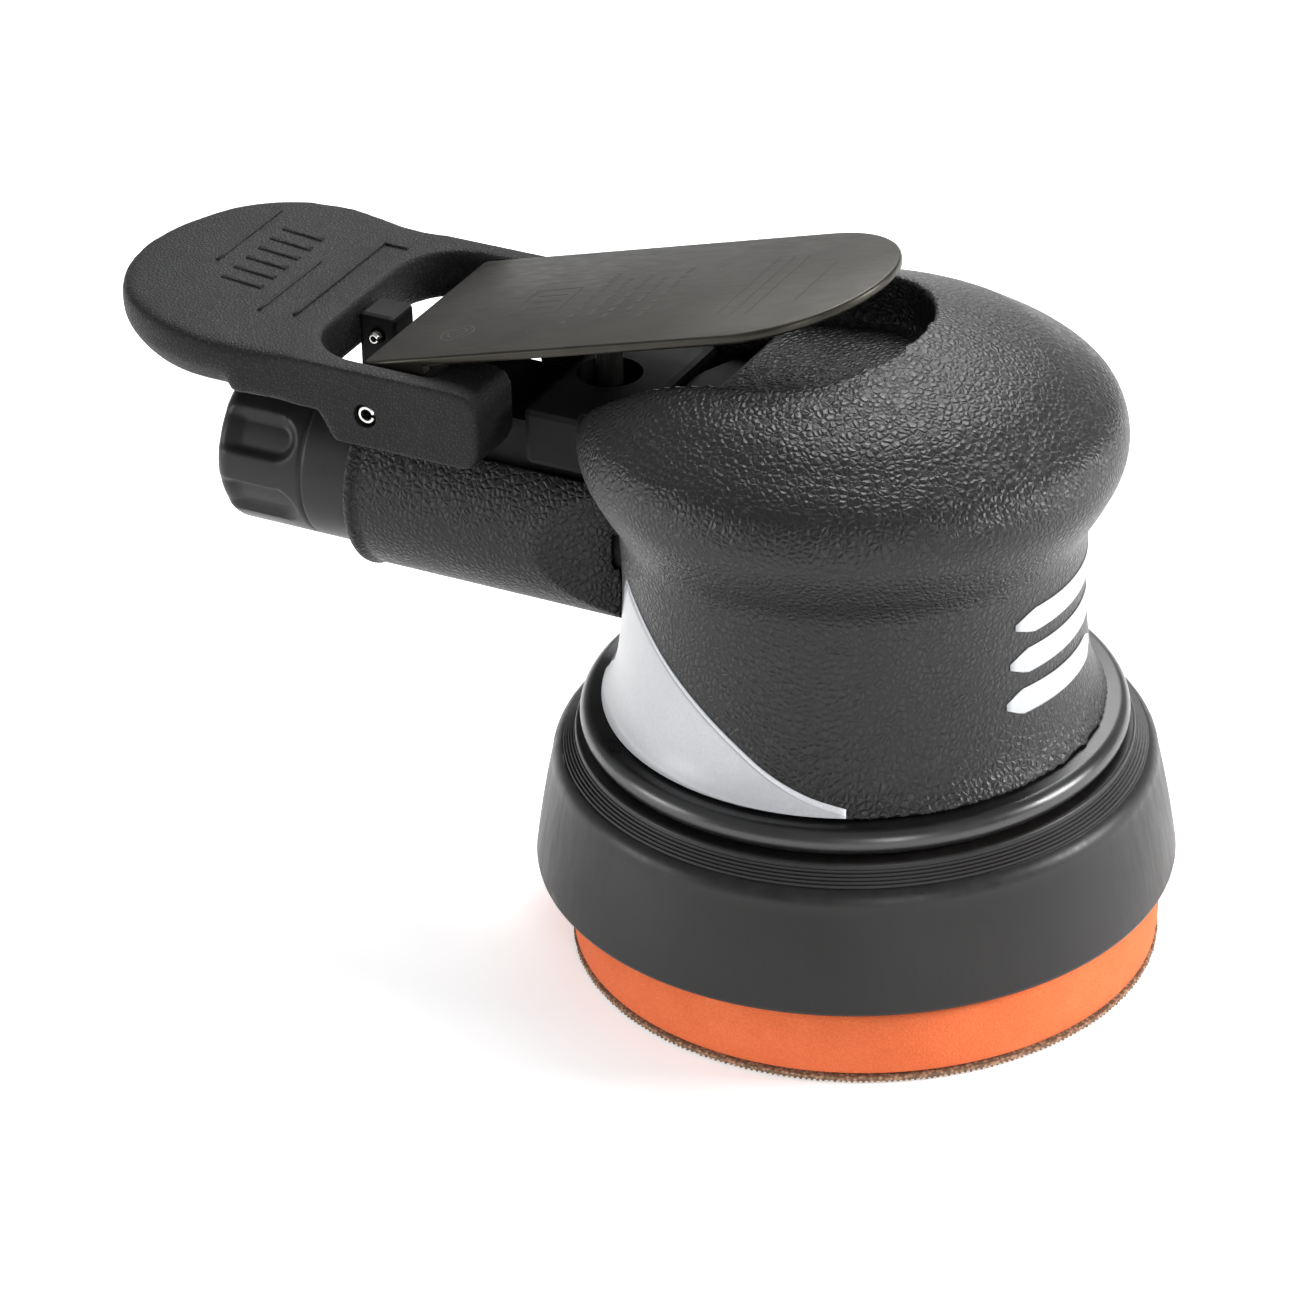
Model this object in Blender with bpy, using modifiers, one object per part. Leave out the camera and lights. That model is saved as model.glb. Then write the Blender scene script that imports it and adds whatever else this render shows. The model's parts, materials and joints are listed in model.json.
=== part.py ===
"""Air-driven random orbital sander with a palm head, throttle lever and wrist platform.

Frame: +Z up along the motor axis, the handle runs along -X, the sanding face lies on z = 0.
The object is symmetric about the XZ plane except for the pad's orbit offset.
All lengths are in metres; MM turns millimetres into metres.
"""
import math

import bmesh
import bpy
from mathutils import Matrix, Vector

MM = 0.001
GAP = 0.3 * MM              # clearance between two pieces that touch
FINE = 40                   # segments round a large visible turned piece
COARSE = 20                 # segments round an inner turned piece
MERGE = 0.00001             # merge distance of every modifier that merges

# ---------------------------------------------------------------- driving sizes
PAD_RADIUS = 44.5 * MM      # 89 mm (3-1/2 in) hook-and-loop pad
ORBIT = 2.4 * MM            # distance from motor axis to pad axis
ORBIT_ANGLE = math.radians(-30.8)
HOOK_THICK = 1.1 * MM
FOAM_THICK = 10.0 * MM
BACKING_RADIUS = 40.5 * MM
BACKING_THICK = 2.2 * MM
HUB_FLANGE = 2.0 * MM
STUD_RADIUS = 3.9 * MM
STUD_LENGTH = 9.3 * MM
SPINDLE_BODY = 11.2 * MM

SKIRT_RIM_RADIUS = 48.3 * MM
SKIRT_WALL = 1.7 * MM
SKIRT_LIFT = 1.2 * MM       # skirt rim above the top of the foam
SKIRT_HEIGHT = 22.2 * MM
SKIRT_TAPER = 2.8 * MM      # the skirt is this much smaller in radius at its shoulder
SKIRT_SHOULDER = 3.0 * MM   # radius of the shoulder's rounding

BEAD_RADIUS = 41.1 * MM     # lock ring's rounded bead
BEAD_HEIGHT = 4.2 * MM
COLLAR_DEPTH = 8.8 * MM     # bead's edge to the seat of the skirt's collar
GRIP_HEIGHT = 63.2 * MM     # from the lock ring to the crown of the palm grip
GRIP_FOOT_RADIUS = 38.0 * MM
GRIP_WAIST_RADIUS = 34.2 * MM
GRIP_LOBE_RADIUS = 40.3 * MM
GRIP_WAIST_WALL = 2.5 * MM
TROUGH_SIDE = 1.5 * MM      # between the lever's edge and the wall of the grip's trough
TROUGH_CENTRE = -6.0 * MM    # centre of the trough's round front, from the motor axis
TROUGH_FRONT = 18.0 * MM     # length of the round front
TROUGH_REAR = -60.0 * MM     # well behind the grip
TROUGH_SLOPE = 0.13

HOUSING_WALL = 3.9 * MM
LINER_ECCENTRIC = 1.8 * MM
LINER_WALL = 4.2 * MM       # at its thinnest
END_PLATE = 8.0 * MM
ROTOR_HEIGHT = 18.0 * MM
ROTOR_BORE = 5.3 * MM
VANE_COUNT = 5
VANE_THICK = 1.3 * MM
VANE_DEPTH = 7.2 * MM

HANDLE_RADIUS = 15.0 * MM
HANDLE_RISE = 20.4 * MM     # handle's axis above the foot of the grip
HANDLE_REACH = 44.3 * MM    # rear rim of the sleeve behind the grip's waist
SLEEVE_WALL = 4.3 * MM
CAP_STEP = 2.1 * MM         # the cap's radius is this much under the handle's
CAP_LENGTH = 24.3 * MM
CAP_WALL = 2.2 * MM
FLUTE_COUNT = 7
FLUTE_TURN = math.radians(-8.8)
FLUTE_RADIUS = 9.0 * MM
FLUTE_DEPTH = 1.5 * MM
FLUTE_LENGTH = 14.0 * MM
INLET_BORE = 5.7 * MM       # radius of the inlet's tapping-size bore
BUSHING_WALL = 2.3 * MM
BUSHING_LENGTH = 31.3 * MM

LEVER_THICK = 1.5 * MM
LEVER_HALF_WIDTH = 18.8 * MM
LEVER_ROUND = 18.7 * MM     # length of the plate's round front
LEVER_PAST = 8.0 * MM       # lever's tip past the motor axis, along the plate
LEVER_ANGLE = math.radians(15.9)
LEVER_RISE = 6.8 * MM       # top of the plate above the hinge, square to the plate
HINGE_AHEAD = 9.8 * MM      # hinge in front of the sleeve's rear rim
HINGE_RISE = 6.2 * MM       # hinge above the top of the handle
HINGE_PIN_RADIUS = 1.6 * MM
SMALL_PIN_RADIUS = 1.0 * MM

VALVE_AHEAD = 28.7 * MM     # valve in front of the hinge
VALVE_BORE = 5.0 * MM
STEM_RADIUS = 2.0 * MM
STEM_NECK = 1.5 * MM
STEM_HEAD = 1.1 * MM
STEM_HEAD_RADIUS = 3.0 * MM
SEAT_THICK = 1.5 * MM
TIP_THICK = 2.7 * MM
TIP_RADIUS = 4.2 * MM

ARM_WALL = 3.6 * MM
ARM_SIDE = 0.8 * MM         # between the lever's edge and a platform arm
ARM_LENGTH = 19.0 * MM      # arm's front end ahead of the hinge
ARM_END_WIDTH = 11.2 * MM   # the arm's thick front end, across the tool
ARM_END_BACK = 9.8 * MM     # the thick end starts this far ahead of the hinge
ARM_DROP = 5.5 * MM         # foot of the arms below the hinge
PLATFORM_FLARE = 1.4 * MM   # the paddle is this much wider each side than the arms
PLATFORM_RISE = 7.0 * MM    # top of the paddle above the hinge
PLATFORM_THICK = 8.0 * MM
PLATFORM_REACH = 51.9 * MM  # rear of the paddle behind the hinge
ARCH_REACH = 12.9 * MM      # rear of the opening behind the hinge
ARCH_CORNER = 9.0 * MM

BLOCK_INSET = 3.4 * MM      # valve block's side inside the lever's edge
BLOCK_REACH = 12.3 * MM     # rear of the valve block behind the grip's waist
BLOCK_RISE = 9.0 * MM       # top of the valve block above the handle
RIDGE_HALF_WIDTH = 9.0 * MM
RIDGE_RISE = 3.0 * MM       # top of the ridge above the handle
LUG_HALF_WIDTH = 3.2 * MM
LUG_AHEAD = 2.8 * MM        # front of the lug ahead of its pin
LUG_CAP = 3.2 * MM          # top of the lug above its pin
LUG_BACK = 9.2 * MM         # platform lug behind the hinge
BARREL_RADIUS = 3.7 * MM

# ---------------------------------------------------------------- levels that follow
PAD_AXIS = Vector((ORBIT * math.cos(ORBIT_ANGLE), ORBIT * math.sin(ORBIT_ANGLE), 0.0))
FOAM_Z = HOOK_THICK + GAP
FOAM_TOP = FOAM_Z + FOAM_THICK
BACKING_Z = FOAM_TOP + GAP
BACKING_TOP = BACKING_Z + BACKING_THICK
HUB_Z = BACKING_TOP + GAP
HUB_TOP = HUB_Z + HUB_FLANGE
SPINDLE_Z = HUB_TOP + GAP
SPINDLE_SHOULDER = SPINDLE_Z + SPINDLE_BODY + 1.0 * MM

SKIRT_RIM = FOAM_TOP + SKIRT_LIFT
SKIRT_TOP = SKIRT_RIM + SKIRT_HEIGHT
BEAD_Z = SKIRT_TOP + GAP
BEAD_TOP = BEAD_Z + BEAD_HEIGHT
GRIP_FOOT = BEAD_TOP + GAP
GRIP_TOP = GRIP_FOOT + GRIP_HEIGHT

CAVITY_RADIUS = GRIP_WAIST_RADIUS - GRIP_WAIST_WALL
CAN_RADIUS = CAVITY_RADIUS - GAP
MOTOR_RADIUS = CAN_RADIUS - HOUSING_WALL
LINER_RADIUS = MOTOR_RADIUS - GAP
LINER_BORE = LINER_RADIUS - LINER_WALL - LINER_ECCENTRIC
ROTOR_RADIUS = LINER_BORE - LINER_ECCENTRIC - GAP

LOCK_TOP = GRIP_FOOT + 3.6 * MM
LOWER_PLATE_Z = LOCK_TOP + GAP
LOWER_PLATE_TOP = LOWER_PLATE_Z + END_PLATE
LINER_Z = LOWER_PLATE_TOP + GAP
LINER_TOP = LINER_Z + ROTOR_HEIGHT + 0.8 * MM
ROTOR_Z = LINER_Z + 0.4 * MM
ROTOR_TOP = ROTOR_Z + ROTOR_HEIGHT
UPPER_PLATE_Z = LINER_TOP + GAP
UPPER_PLATE_TOP = UPPER_PLATE_Z + END_PLATE
CAN_CEILING = UPPER_PLATE_TOP + GAP
CAN_TOP = CAN_CEILING + 3.0 * MM
TROUGH_FLOOR = CAN_TOP + 8.3 * MM

COLLAR_RADIUS = BEAD_RADIUS - COLLAR_DEPTH
HANDLE_LIFT = GRIP_FOOT + HANDLE_RISE
HANDLE_TOP = HANDLE_LIFT + HANDLE_RADIUS
HANDLE_END = -GRIP_WAIST_RADIUS - HANDLE_REACH
CORE_RADIUS = HANDLE_RADIUS - SLEEVE_WALL - GAP
CORE_END = HANDLE_END - 2.2 * MM
CAP_RADIUS = HANDLE_RADIUS - CAP_STEP
CAP_REAR = -HANDLE_END + CAP_LENGTH
BUSHING_RADIUS = INLET_BORE + BUSHING_WALL
HINGE_X = HANDLE_END + HINGE_AHEAD
HINGE_Z = HANDLE_TOP + HINGE_RISE
LEVER_REACH = LEVER_PAST - HINGE_X / math.cos(LEVER_ANGLE)
VALVE_X = HINGE_X + VALVE_AHEAD
VALVE_FLOOR = HANDLE_LIFT - 8.0 * MM
INLET_Z = HANDLE_LIFT - 3.5 * MM
SEAT_Z = HANDLE_LIFT + 2.5 * MM
OUTLET_Z = SEAT_Z + SEAT_THICK + 3.0 * MM
STEM_GUIDE_Z = OUTLET_Z + 2.5 * MM
TIP_Z = SEAT_Z - GAP - TIP_THICK
RIDGE_TOP = HANDLE_TOP + RIDGE_RISE
BLOCK_HALF_WIDTH = LEVER_HALF_WIDTH - BLOCK_INSET
BLOCK_REAR = -GRIP_WAIST_RADIUS - BLOCK_REACH
BLOCK_FOOT = HANDLE_TOP - 0.5 * MM
BLOCK_TOP = HANDLE_TOP + BLOCK_RISE
LUG_X = HINGE_X - LUG_BACK
LUG_PIN_Z = HINGE_Z + 2.2 * MM
BARREL_HALF_WIDTH = LEVER_HALF_WIDTH - LEVER_THICK - GAP
ARM_HALF_WIDTH = LEVER_HALF_WIDTH + ARM_SIDE + ARM_WALL
ARM_FRONT = HINGE_X + ARM_LENGTH
ARM_FOOT = HINGE_Z - ARM_DROP
PLATFORM_HALF_WIDTH = ARM_HALF_WIDTH + PLATFORM_FLARE
PLATFORM_TOP = HINGE_Z + PLATFORM_RISE
PLATFORM_FOOT = PLATFORM_TOP - PLATFORM_THICK
PLATFORM_REAR = HINGE_X - PLATFORM_REACH
ARCH_REAR = HINGE_X - ARCH_REACH

LOWER_BEARING_Z = LOWER_PLATE_Z + 0.5 * MM
LOWER_BEARING = {"inner": 6.0 * MM, "outer": 13.0 * MM, "width": 5.2 * MM, "balls": 8}
UPPER_BEARING = {"inner": 3.2 * MM, "outer": 9.5 * MM, "width": 5.0 * MM, "balls": 7}
PAD_BEARING = {"inner": 5.0 * MM, "outer": 13.0 * MM, "width": 8.0 * MM, "balls": 8}
PAD_BEARING_Z = SPINDLE_SHOULDER + GAP

COLORS = {
    "grip": (0.018, 0.018, 0.020, 0.72, 0.0),
    "housing": (0.012, 0.011, 0.011, 0.40, 0.0),
    "rubber": (0.020, 0.018, 0.017, 0.60, 0.0),
    "gloss_black": (0.010, 0.010, 0.010, 0.25, 0.0),
    "lever_steel": (0.085, 0.078, 0.062, 0.38, 0.9),
    "steel": (0.55, 0.55, 0.53, 0.30, 1.0),
    "brass": (0.60, 0.45, 0.20, 0.35, 1.0),
    "felt": (0.30, 0.29, 0.27, 0.95, 0.0),
    "foam": (0.83, 0.20, 0.06, 0.85, 0.0),
    "hook": (0.07, 0.07, 0.06, 0.90, 0.0),
    "fibre": (0.20, 0.16, 0.09, 0.60, 0.0),
    "vane": (0.16, 0.10, 0.05, 0.55, 0.0),
}


# ---------------------------------------------------------------- scene helpers
def clear_scene():
    for obj in list(bpy.data.objects):
        bpy.data.objects.remove(obj, do_unlink=True)


def new_collection(name):
    collection = bpy.data.collections.new(name)
    bpy.context.scene.collection.children.link(collection)
    return collection


clear_scene()
PARTS = new_collection("orbital_sander")
CUTTERS = new_collection("cutters")
MATERIALS = {}


def material(name):
    if name not in MATERIALS:
        red, green, blue, roughness, metallic = COLORS[name]
        made = bpy.data.materials.new(name)
        made.use_nodes = True
        shader = made.node_tree.nodes["Principled BSDF"]
        shader.inputs["Base Color"].default_value = (red, green, blue, 1.0)
        shader.inputs["Roughness"].default_value = roughness
        shader.inputs["Metallic"].default_value = metallic
        MATERIALS[name] = made
    return MATERIALS[name]


def empty(name, location, parent=None):
    obj = bpy.data.objects.new(name, None)
    obj.location = location
    obj.parent = parent
    PARTS.objects.link(obj)
    return obj


def place(name, mesh, finish=None, location=(0, 0, 0), rotation=(0, 0, 0), parent=None):
    """Link a mesh as a part, or as a cutter when it has no finish."""
    obj = bpy.data.objects.new(name, mesh)
    obj.location = location
    obj.rotation_euler = rotation
    obj.parent = parent
    if finish is None:
        CUTTERS.objects.link(obj)
        obj.hide_render = True
        obj.display_type = "WIRE"
    else:
        PARTS.objects.link(obj)
        mesh.materials.append(material(finish))
    return obj


def smooth(mesh, angle=35):
    mesh.shade_smooth()
    mesh.set_sharp_from_angle(angle=math.radians(angle))


# ---------------------------------------------------------------- shape helpers
def arc(centre, radius, start, end, steps):
    """Points (r, z) on an arc from start to end, in degrees."""
    points = []
    for index in range(steps + 1):
        angle = math.radians(start + (end - start) * index / steps)
        points.append((centre[0] + radius * math.cos(angle), centre[1] + radius * math.sin(angle)))
    return points


def turned(name, profile, finish=None, steps=COARSE, closed=True, **where):
    """Turn a profile of (r, z) about the object's Z axis; its outer side runs downwards."""
    mesh = bpy.data.meshes.new(name)
    form = bmesh.new()
    points = [form.verts.new((r, 0.0, z)) for r, z in profile]
    for first, second in zip(points, points[1:]):
        form.edges.new((first, second))
    if closed:
        form.edges.new((points[-1], points[0]))
    form.to_mesh(mesh)
    form.free()
    obj = place(name, mesh, finish, **where)
    screw = obj.modifiers.new("turn", "SCREW")
    screw.axis = "Z"
    screw.steps = steps
    screw.render_steps = steps
    screw.use_merge_vertices = True
    screw.merge_threshold = MERGE
    screw.use_smooth_shade = True
    return obj


def ring(name, inner, outer, low, high, finish=None, steps=COARSE, **where):
    profile = [(inner, high), (outer, high), (outer, low), (inner, low)]
    return turned(name, profile, finish, steps, **where)


def disc(name, radius, low, high, finish=None, steps=COARSE, **where):
    """A solid cylinder along the object's Z axis."""
    mesh = bpy.data.meshes.new(name)
    form = bmesh.new()
    bmesh.ops.create_cone(form, cap_ends=True, segments=steps, radius1=radius, radius2=radius,
                          depth=high - low, matrix=Matrix.Translation((0, 0, (low + high) / 2)))
    form.to_mesh(mesh)
    form.free()
    smooth(mesh)
    return place(name, mesh, finish, **where)


def box(name, low, high, finish=None, **where):
    mesh = bpy.data.meshes.new(name)
    form = bmesh.new()
    low, high = Vector(low), Vector(high)
    size = Matrix.Diagonal((*(high - low), 1.0))
    bmesh.ops.create_cube(form, size=1.0, matrix=Matrix.Translation((low + high) / 2) @ size)
    form.to_mesh(mesh)
    form.free()
    return place(name, mesh, finish, **where)


def plate(name, outline, thick, finish=None, upright=False, **where):
    """A flat outline with a thickness, lying in XY, or standing in XZ when upright."""
    curve = bpy.data.curves.new(name, "CURVE")
    curve.dimensions = "2D"
    curve.fill_mode = "BOTH"
    curve.extrude = thick / 2
    spline = curve.splines.new("POLY")
    spline.points.add(len(outline) - 1)
    for point, (first, second) in zip(spline.points, outline):
        point.co = (first, second, 0.0, 1.0)
    spline.use_cyclic_u = True
    guide = bpy.data.objects.new(name + "_guide", curve)
    bpy.context.scene.collection.objects.link(guide)
    depsgraph = bpy.context.evaluated_depsgraph_get()
    mesh = bpy.data.meshes.new_from_object(guide.evaluated_get(depsgraph))
    bpy.data.objects.remove(guide, do_unlink=True)
    form = bmesh.new()
    form.from_mesh(mesh)
    bmesh.ops.remove_doubles(form, verts=form.verts, dist=MERGE)
    if upright:
        bmesh.ops.rotate(form, verts=form.verts, matrix=Matrix.Rotation(math.pi / 2, 3, "X"))
    bmesh.ops.recalc_face_normals(form, faces=form.faces)
    form.to_mesh(mesh)
    form.free()
    mesh.materials.clear()
    mesh.name = name
    return place(name, mesh, finish, **where)


def boolean(obj, cutter, operation="DIFFERENCE"):
    modifier = obj.modifiers.new(operation.lower() + "_" + cutter.name, "BOOLEAN")
    modifier.operation = operation
    modifier.object = cutter
    modifier.solver = "EXACT"
    return modifier


def bevel(obj, width, segments=2, angle=40):
    modifier = obj.modifiers.new("round", "BEVEL")
    modifier.width = width
    modifier.segments = segments
    modifier.limit_method = "ANGLE"
    modifier.angle_limit = math.radians(angle)
    return modifier


def rounded_corner(corner, before, after, radius, steps=4):
    """Points of an arc that rounds a polygon's corner between its two neighbours."""
    corner, before, after = Vector(corner), Vector(before), Vector(after)
    into = (before - corner).normalized()
    out = (after - corner).normalized()
    half = into.angle(out) / 2
    reach = radius / math.tan(half)
    centre = corner + (into + out).normalized() * (radius / math.sin(half))
    start = corner + into * reach - centre
    sweep = start.angle_signed(corner + out * reach - centre)
    points = []
    for index in range(steps + 1):
        turn = -sweep * index / steps
        cos, sin = math.cos(turn), math.sin(turn)
        points.append((centre.x + start.x * cos - start.y * sin,
                       centre.y + start.x * sin + start.y * cos))
    return points


def rounded_outline(corners):
    """An outline from (x, y, radius) corners, each rounded by its own radius."""
    points = []
    count = len(corners)
    for index, (x, y, radius) in enumerate(corners):
        before = corners[index - 1][:2]
        after = corners[(index + 1) % count][:2]
        if radius > 0:
            points.extend(rounded_corner((x, y), before, after, radius))
        else:
            points.append((x, y))
    return points


ALONG_HANDLE = (0.0, -math.pi / 2, 0.0)     # local Z points to the rear, along -X
ACROSS = (math.pi / 2, 0.0, 0.0)            # local Z points along -Y


# ---------------------------------------------------------------- axes of the moving pieces
motor_axis = empty("motor_axis", (0, 0, 0))
pad_axis = empty("pad_axis", PAD_AXIS, motor_axis)
lever_axis = empty("lever_axis", (HINGE_X, 0, HINGE_Z))
lever_axis.rotation_euler = (0.0, -LEVER_ANGLE, 0.0)
stem_axis = empty("stem_axis", (VALVE_X, 0, 0))
handle_axis = empty("handle_axis", (0, 0, HANDLE_LIFT))
handle_axis.rotation_euler = ALONG_HANDLE


# ---------------------------------------------------------------- sanding pad
def make_pad():
    disc("pad_hook_face", PAD_RADIUS, 0.0, HOOK_THICK, "hook", FINE, parent=pad_axis)
    inset = 0.5 * MM
    foam = [(0.0, FOAM_TOP), (PAD_RADIUS - 2 * inset, FOAM_TOP), (PAD_RADIUS - inset, FOAM_TOP - inset),
            (PAD_RADIUS, FOAM_Z + 2 * inset), (PAD_RADIUS - 0.2 * inset, FOAM_Z), (0.0, FOAM_Z)]
    turned("pad_foam", foam, "foam", FINE, closed=False, parent=pad_axis)
    hole = 6.3 * MM
    ring("pad_backing_plate", hole, BACKING_RADIUS, BACKING_Z, BACKING_TOP, "fibre", parent=pad_axis)
    spigot = hole - GAP
    flange = 13.0 * MM
    stud_top = HUB_TOP + STUD_LENGTH
    hub = [(0.0, stud_top), (STUD_RADIUS - 0.6 * MM, stud_top), (STUD_RADIUS, stud_top - 0.6 * MM),
           (STUD_RADIUS, HUB_TOP), (flange, HUB_TOP), (flange, HUB_Z), (spigot, HUB_Z),
           (spigot, BACKING_Z), (0.0, BACKING_Z)]
    turned("pad_stud", hub, "steel", closed=False, parent=pad_axis)


def make_spindle():
    """The spindle takes the pad's stud from below and turns in the pad bearing."""
    journal = PAD_BEARING["inner"] - GAP
    bore = STUD_RADIUS + GAP
    body = 9.6 * MM
    body_top = SPINDLE_Z + SPINDLE_BODY
    journal_top = PAD_BEARING_Z + PAD_BEARING["width"] - 0.2 * MM
    screw_hole = 2.2 * MM
    profile = [(screw_hole, journal_top), (journal, journal_top), (journal, SPINDLE_SHOULDER),
               (journal + 1.2 * MM, SPINDLE_SHOULDER), (journal + 1.2 * MM, body_top),
               (body, body_top), (body, SPINDLE_Z), (bore, SPINDLE_Z),
               (bore, SPINDLE_Z + STUD_LENGTH + 0.5 * MM), (0.0, SPINDLE_Z + STUD_LENGTH + 0.5 * MM),
               (0.0, SPINDLE_SHOULDER), (screw_hole, SPINDLE_SHOULDER)]
    spindle = turned("pad_spindle", profile, "steel", closed=False, parent=pad_axis)
    spindle_loop(spindle.data)
    flat = 8.2 * MM
    for side in (-1, 1):
        low = (-20 * MM, side * flat, SPINDLE_Z + 3.0 * MM)
        high = (20 * MM, side * (flat + 10 * MM), body_top - 2.0 * MM)
        cutter = box("wrench_flat", [min(a, b) for a, b in zip(low, high)],
                     [max(a, b) for a, b in zip(low, high)], parent=pad_axis)
        boolean(spindle, cutter)
    head = 6.2 * MM
    seat = journal_top + GAP
    screw = [(0.0, seat + 2.0 * MM), (head, seat + 2.0 * MM), (head, seat),
             (screw_hole - GAP, seat), (screw_hole - GAP, SPINDLE_SHOULDER + GAP),
             (0.0, SPINDLE_SHOULDER + GAP)]
    turned("spindle_cap_screw", screw, "steel", closed=False, parent=pad_axis)


def spindle_loop(mesh):
    """Close the spindle's profile, whose first and last points lie on its screw hole."""
    form = bmesh.new()
    form.from_mesh(mesh)
    form.verts.ensure_lookup_table()
    form.edges.new((form.verts[-1], form.verts[0]))
    form.to_mesh(mesh)
    form.free()


# ---------------------------------------------------------------- ball bearings
def make_bearing(name, size, low, parent):
    """Outer race, inner race and a ball cage, each its own solid."""
    inner, outer, width = size["inner"], size["outer"], size["width"]
    high = low + width
    middle = (low + high) / 2
    pitch = (inner + outer) / 2
    ball = min(width * 0.34, (outer - inner) * 0.25)
    wall = pitch - inner - ball * 0.8
    groove = ball + GAP
    bottom = math.degrees(math.acos((pitch - inner - wall) / groove))
    outer_groove = arc((pitch, middle), groove, -bottom, bottom, 3)
    outer_race = [(outer_groove[-1][0], high), (outer, high), (outer, low), (outer_groove[0][0], low)]
    turned(name + "_outer_race", outer_race + outer_groove, "steel", parent=parent)
    inner_groove = arc((pitch, middle), groove, 180 - bottom, 180 + bottom, 3)
    inner_race = [(inner_groove[0][0], high)] + inner_groove + [(inner_groove[-1][0], low)]
    turned(name + "_inner_race", inner_race + [(inner, low), (inner, high)], "steel", parent=parent)
    cage = ring(name + "_ball_cage", pitch - ball * 0.3, pitch + ball * 0.3,
                middle - ball * 0.45, middle + ball * 0.45, "brass", parent=parent)
    mesh = bpy.data.meshes.new(name + "_balls")
    form = bmesh.new()
    for index in range(size["balls"]):
        turn = Matrix.Rotation(math.tau * index / size["balls"], 4, "Z")
        bmesh.ops.create_uvsphere(form, u_segments=8, v_segments=4, radius=ball,
                                  matrix=turn @ Matrix.Translation((pitch, 0, middle)))
    form.to_mesh(mesh)
    form.free()
    boolean(cage, place(name + "_balls", mesh, parent=parent), "UNION")


# ---------------------------------------------------------------- rotor and balancer
def make_shaft_balancer():
    """One forging: the rotor shaft, the eccentric bearing cup and its counterweight."""
    cup_bore = PAD_BEARING["outer"] + GAP
    cup_z = PAD_BEARING_Z - GAP
    cup_ceiling = PAD_BEARING_Z + PAD_BEARING["width"] + GAP
    cup_top = LOWER_PLATE_Z - GAP
    lower_end = LOWER_BEARING["inner"] - GAP
    upper_end = UPPER_BEARING["inner"] - GAP
    rotor_seat = ROTOR_BORE - GAP
    shaft = [(0.0, UPPER_PLATE_TOP - 0.5 * MM), (upper_end, UPPER_PLATE_TOP - 0.5 * MM),
             (upper_end, ROTOR_TOP + 0.2 * MM), (rotor_seat, ROTOR_TOP + 0.2 * MM),
             (rotor_seat, LOWER_PLATE_TOP), (lower_end, LOWER_PLATE_TOP),
             (lower_end, LOWER_BEARING_Z - GAP), (lower_end + 1.2 * MM, LOWER_BEARING_Z - GAP),
             (lower_end + 1.2 * MM, cup_top - 1.0 * MM), (0.0, cup_top - 1.0 * MM)]
    balancer = turned("shaft_balancer", shaft, "steel", closed=False, parent=motor_axis)
    cup = disc("balancer_cup", cup_bore + 2.8 * MM, cup_z, cup_top, location=PAD_AXIS)
    boolean(balancer, cup, "UNION")
    reach = 22.6 * MM
    weight = disc("balancer_weight", reach, cup_z + 2.0 * MM, cup_top - 2.0 * MM)
    half = box("balancer_half", (-reach * 2, -reach * 2, 0), (2.0 * MM, reach * 2, 60 * MM),
               rotation=(0, 0, ORBIT_ANGLE))
    boolean(weight, half, "INTERSECT")
    boolean(balancer, weight, "UNION")
    boolean(balancer, disc("balancer_bore", cup_bore, cup_z - 5 * MM, cup_ceiling, location=PAD_AXIS))
    relief = disc("balancer_relief", 8.0 * MM, cup_z, cup_ceiling + 1.9 * MM, location=PAD_AXIS)
    boolean(balancer, relief)


def make_rotor():
    rotor = ring("rotor", ROTOR_BORE, ROTOR_RADIUS, ROTOR_Z, ROTOR_TOP, "steel", parent=motor_axis)
    slot = VANE_THICK / 2 + GAP
    root = ROTOR_RADIUS - VANE_DEPTH - 0.6 * MM
    for index in range(VANE_COUNT):
        angle = math.tau * index / VANE_COUNT + math.radians(18)
        cutter = box("vane_slot", (root, -slot, ROTOR_Z - MM), (ROTOR_RADIUS + MM, slot, ROTOR_TOP + MM),
                     rotation=(0, 0, angle), parent=motor_axis)
        boolean(rotor, cutter)
        tip = ROTOR_RADIUS - 0.1 * MM
        box("rotor_vane_%d" % (index + 1), (tip - VANE_DEPTH, -VANE_THICK / 2, ROTOR_Z + 0.1 * MM),
            (tip, VANE_THICK / 2, ROTOR_TOP - 0.1 * MM), "vane", rotation=(0, 0, angle),
            parent=motor_axis)


# ---------------------------------------------------------------- motor stator pieces
def make_cylinder_liner():
    liner = disc("cylinder_liner", LINER_RADIUS, LINER_Z, LINER_TOP, "steel", FINE)
    bore = disc("liner_bore", LINER_BORE, LINER_Z - MM, LINER_TOP + MM, steps=FINE,
                location=(LINER_ECCENTRIC, 0, 0))
    boolean(liner, bore)
    middle = (LINER_Z + LINER_TOP) / 2
    inlet = disc("liner_inlet_port", 2.2 * MM, LINER_BORE - 6 * MM, LINER_RADIUS + 2 * MM, steps=12,
                 location=(0, 0, OUTLET_Z), rotation=ALONG_HANDLE)
    boolean(liner, inlet)
    for row in (-1, 0, 1):
        slot = box("liner_exhaust_slot", (-1.2 * MM, LINER_BORE - 6 * MM, middle - 1.0 * MM),
                   (1.2 * MM, LINER_RADIUS + 2 * MM, middle + 1.0 * MM),
                   location=(0, 0, row * 4.5 * MM))
        boolean(liner, slot)


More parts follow.
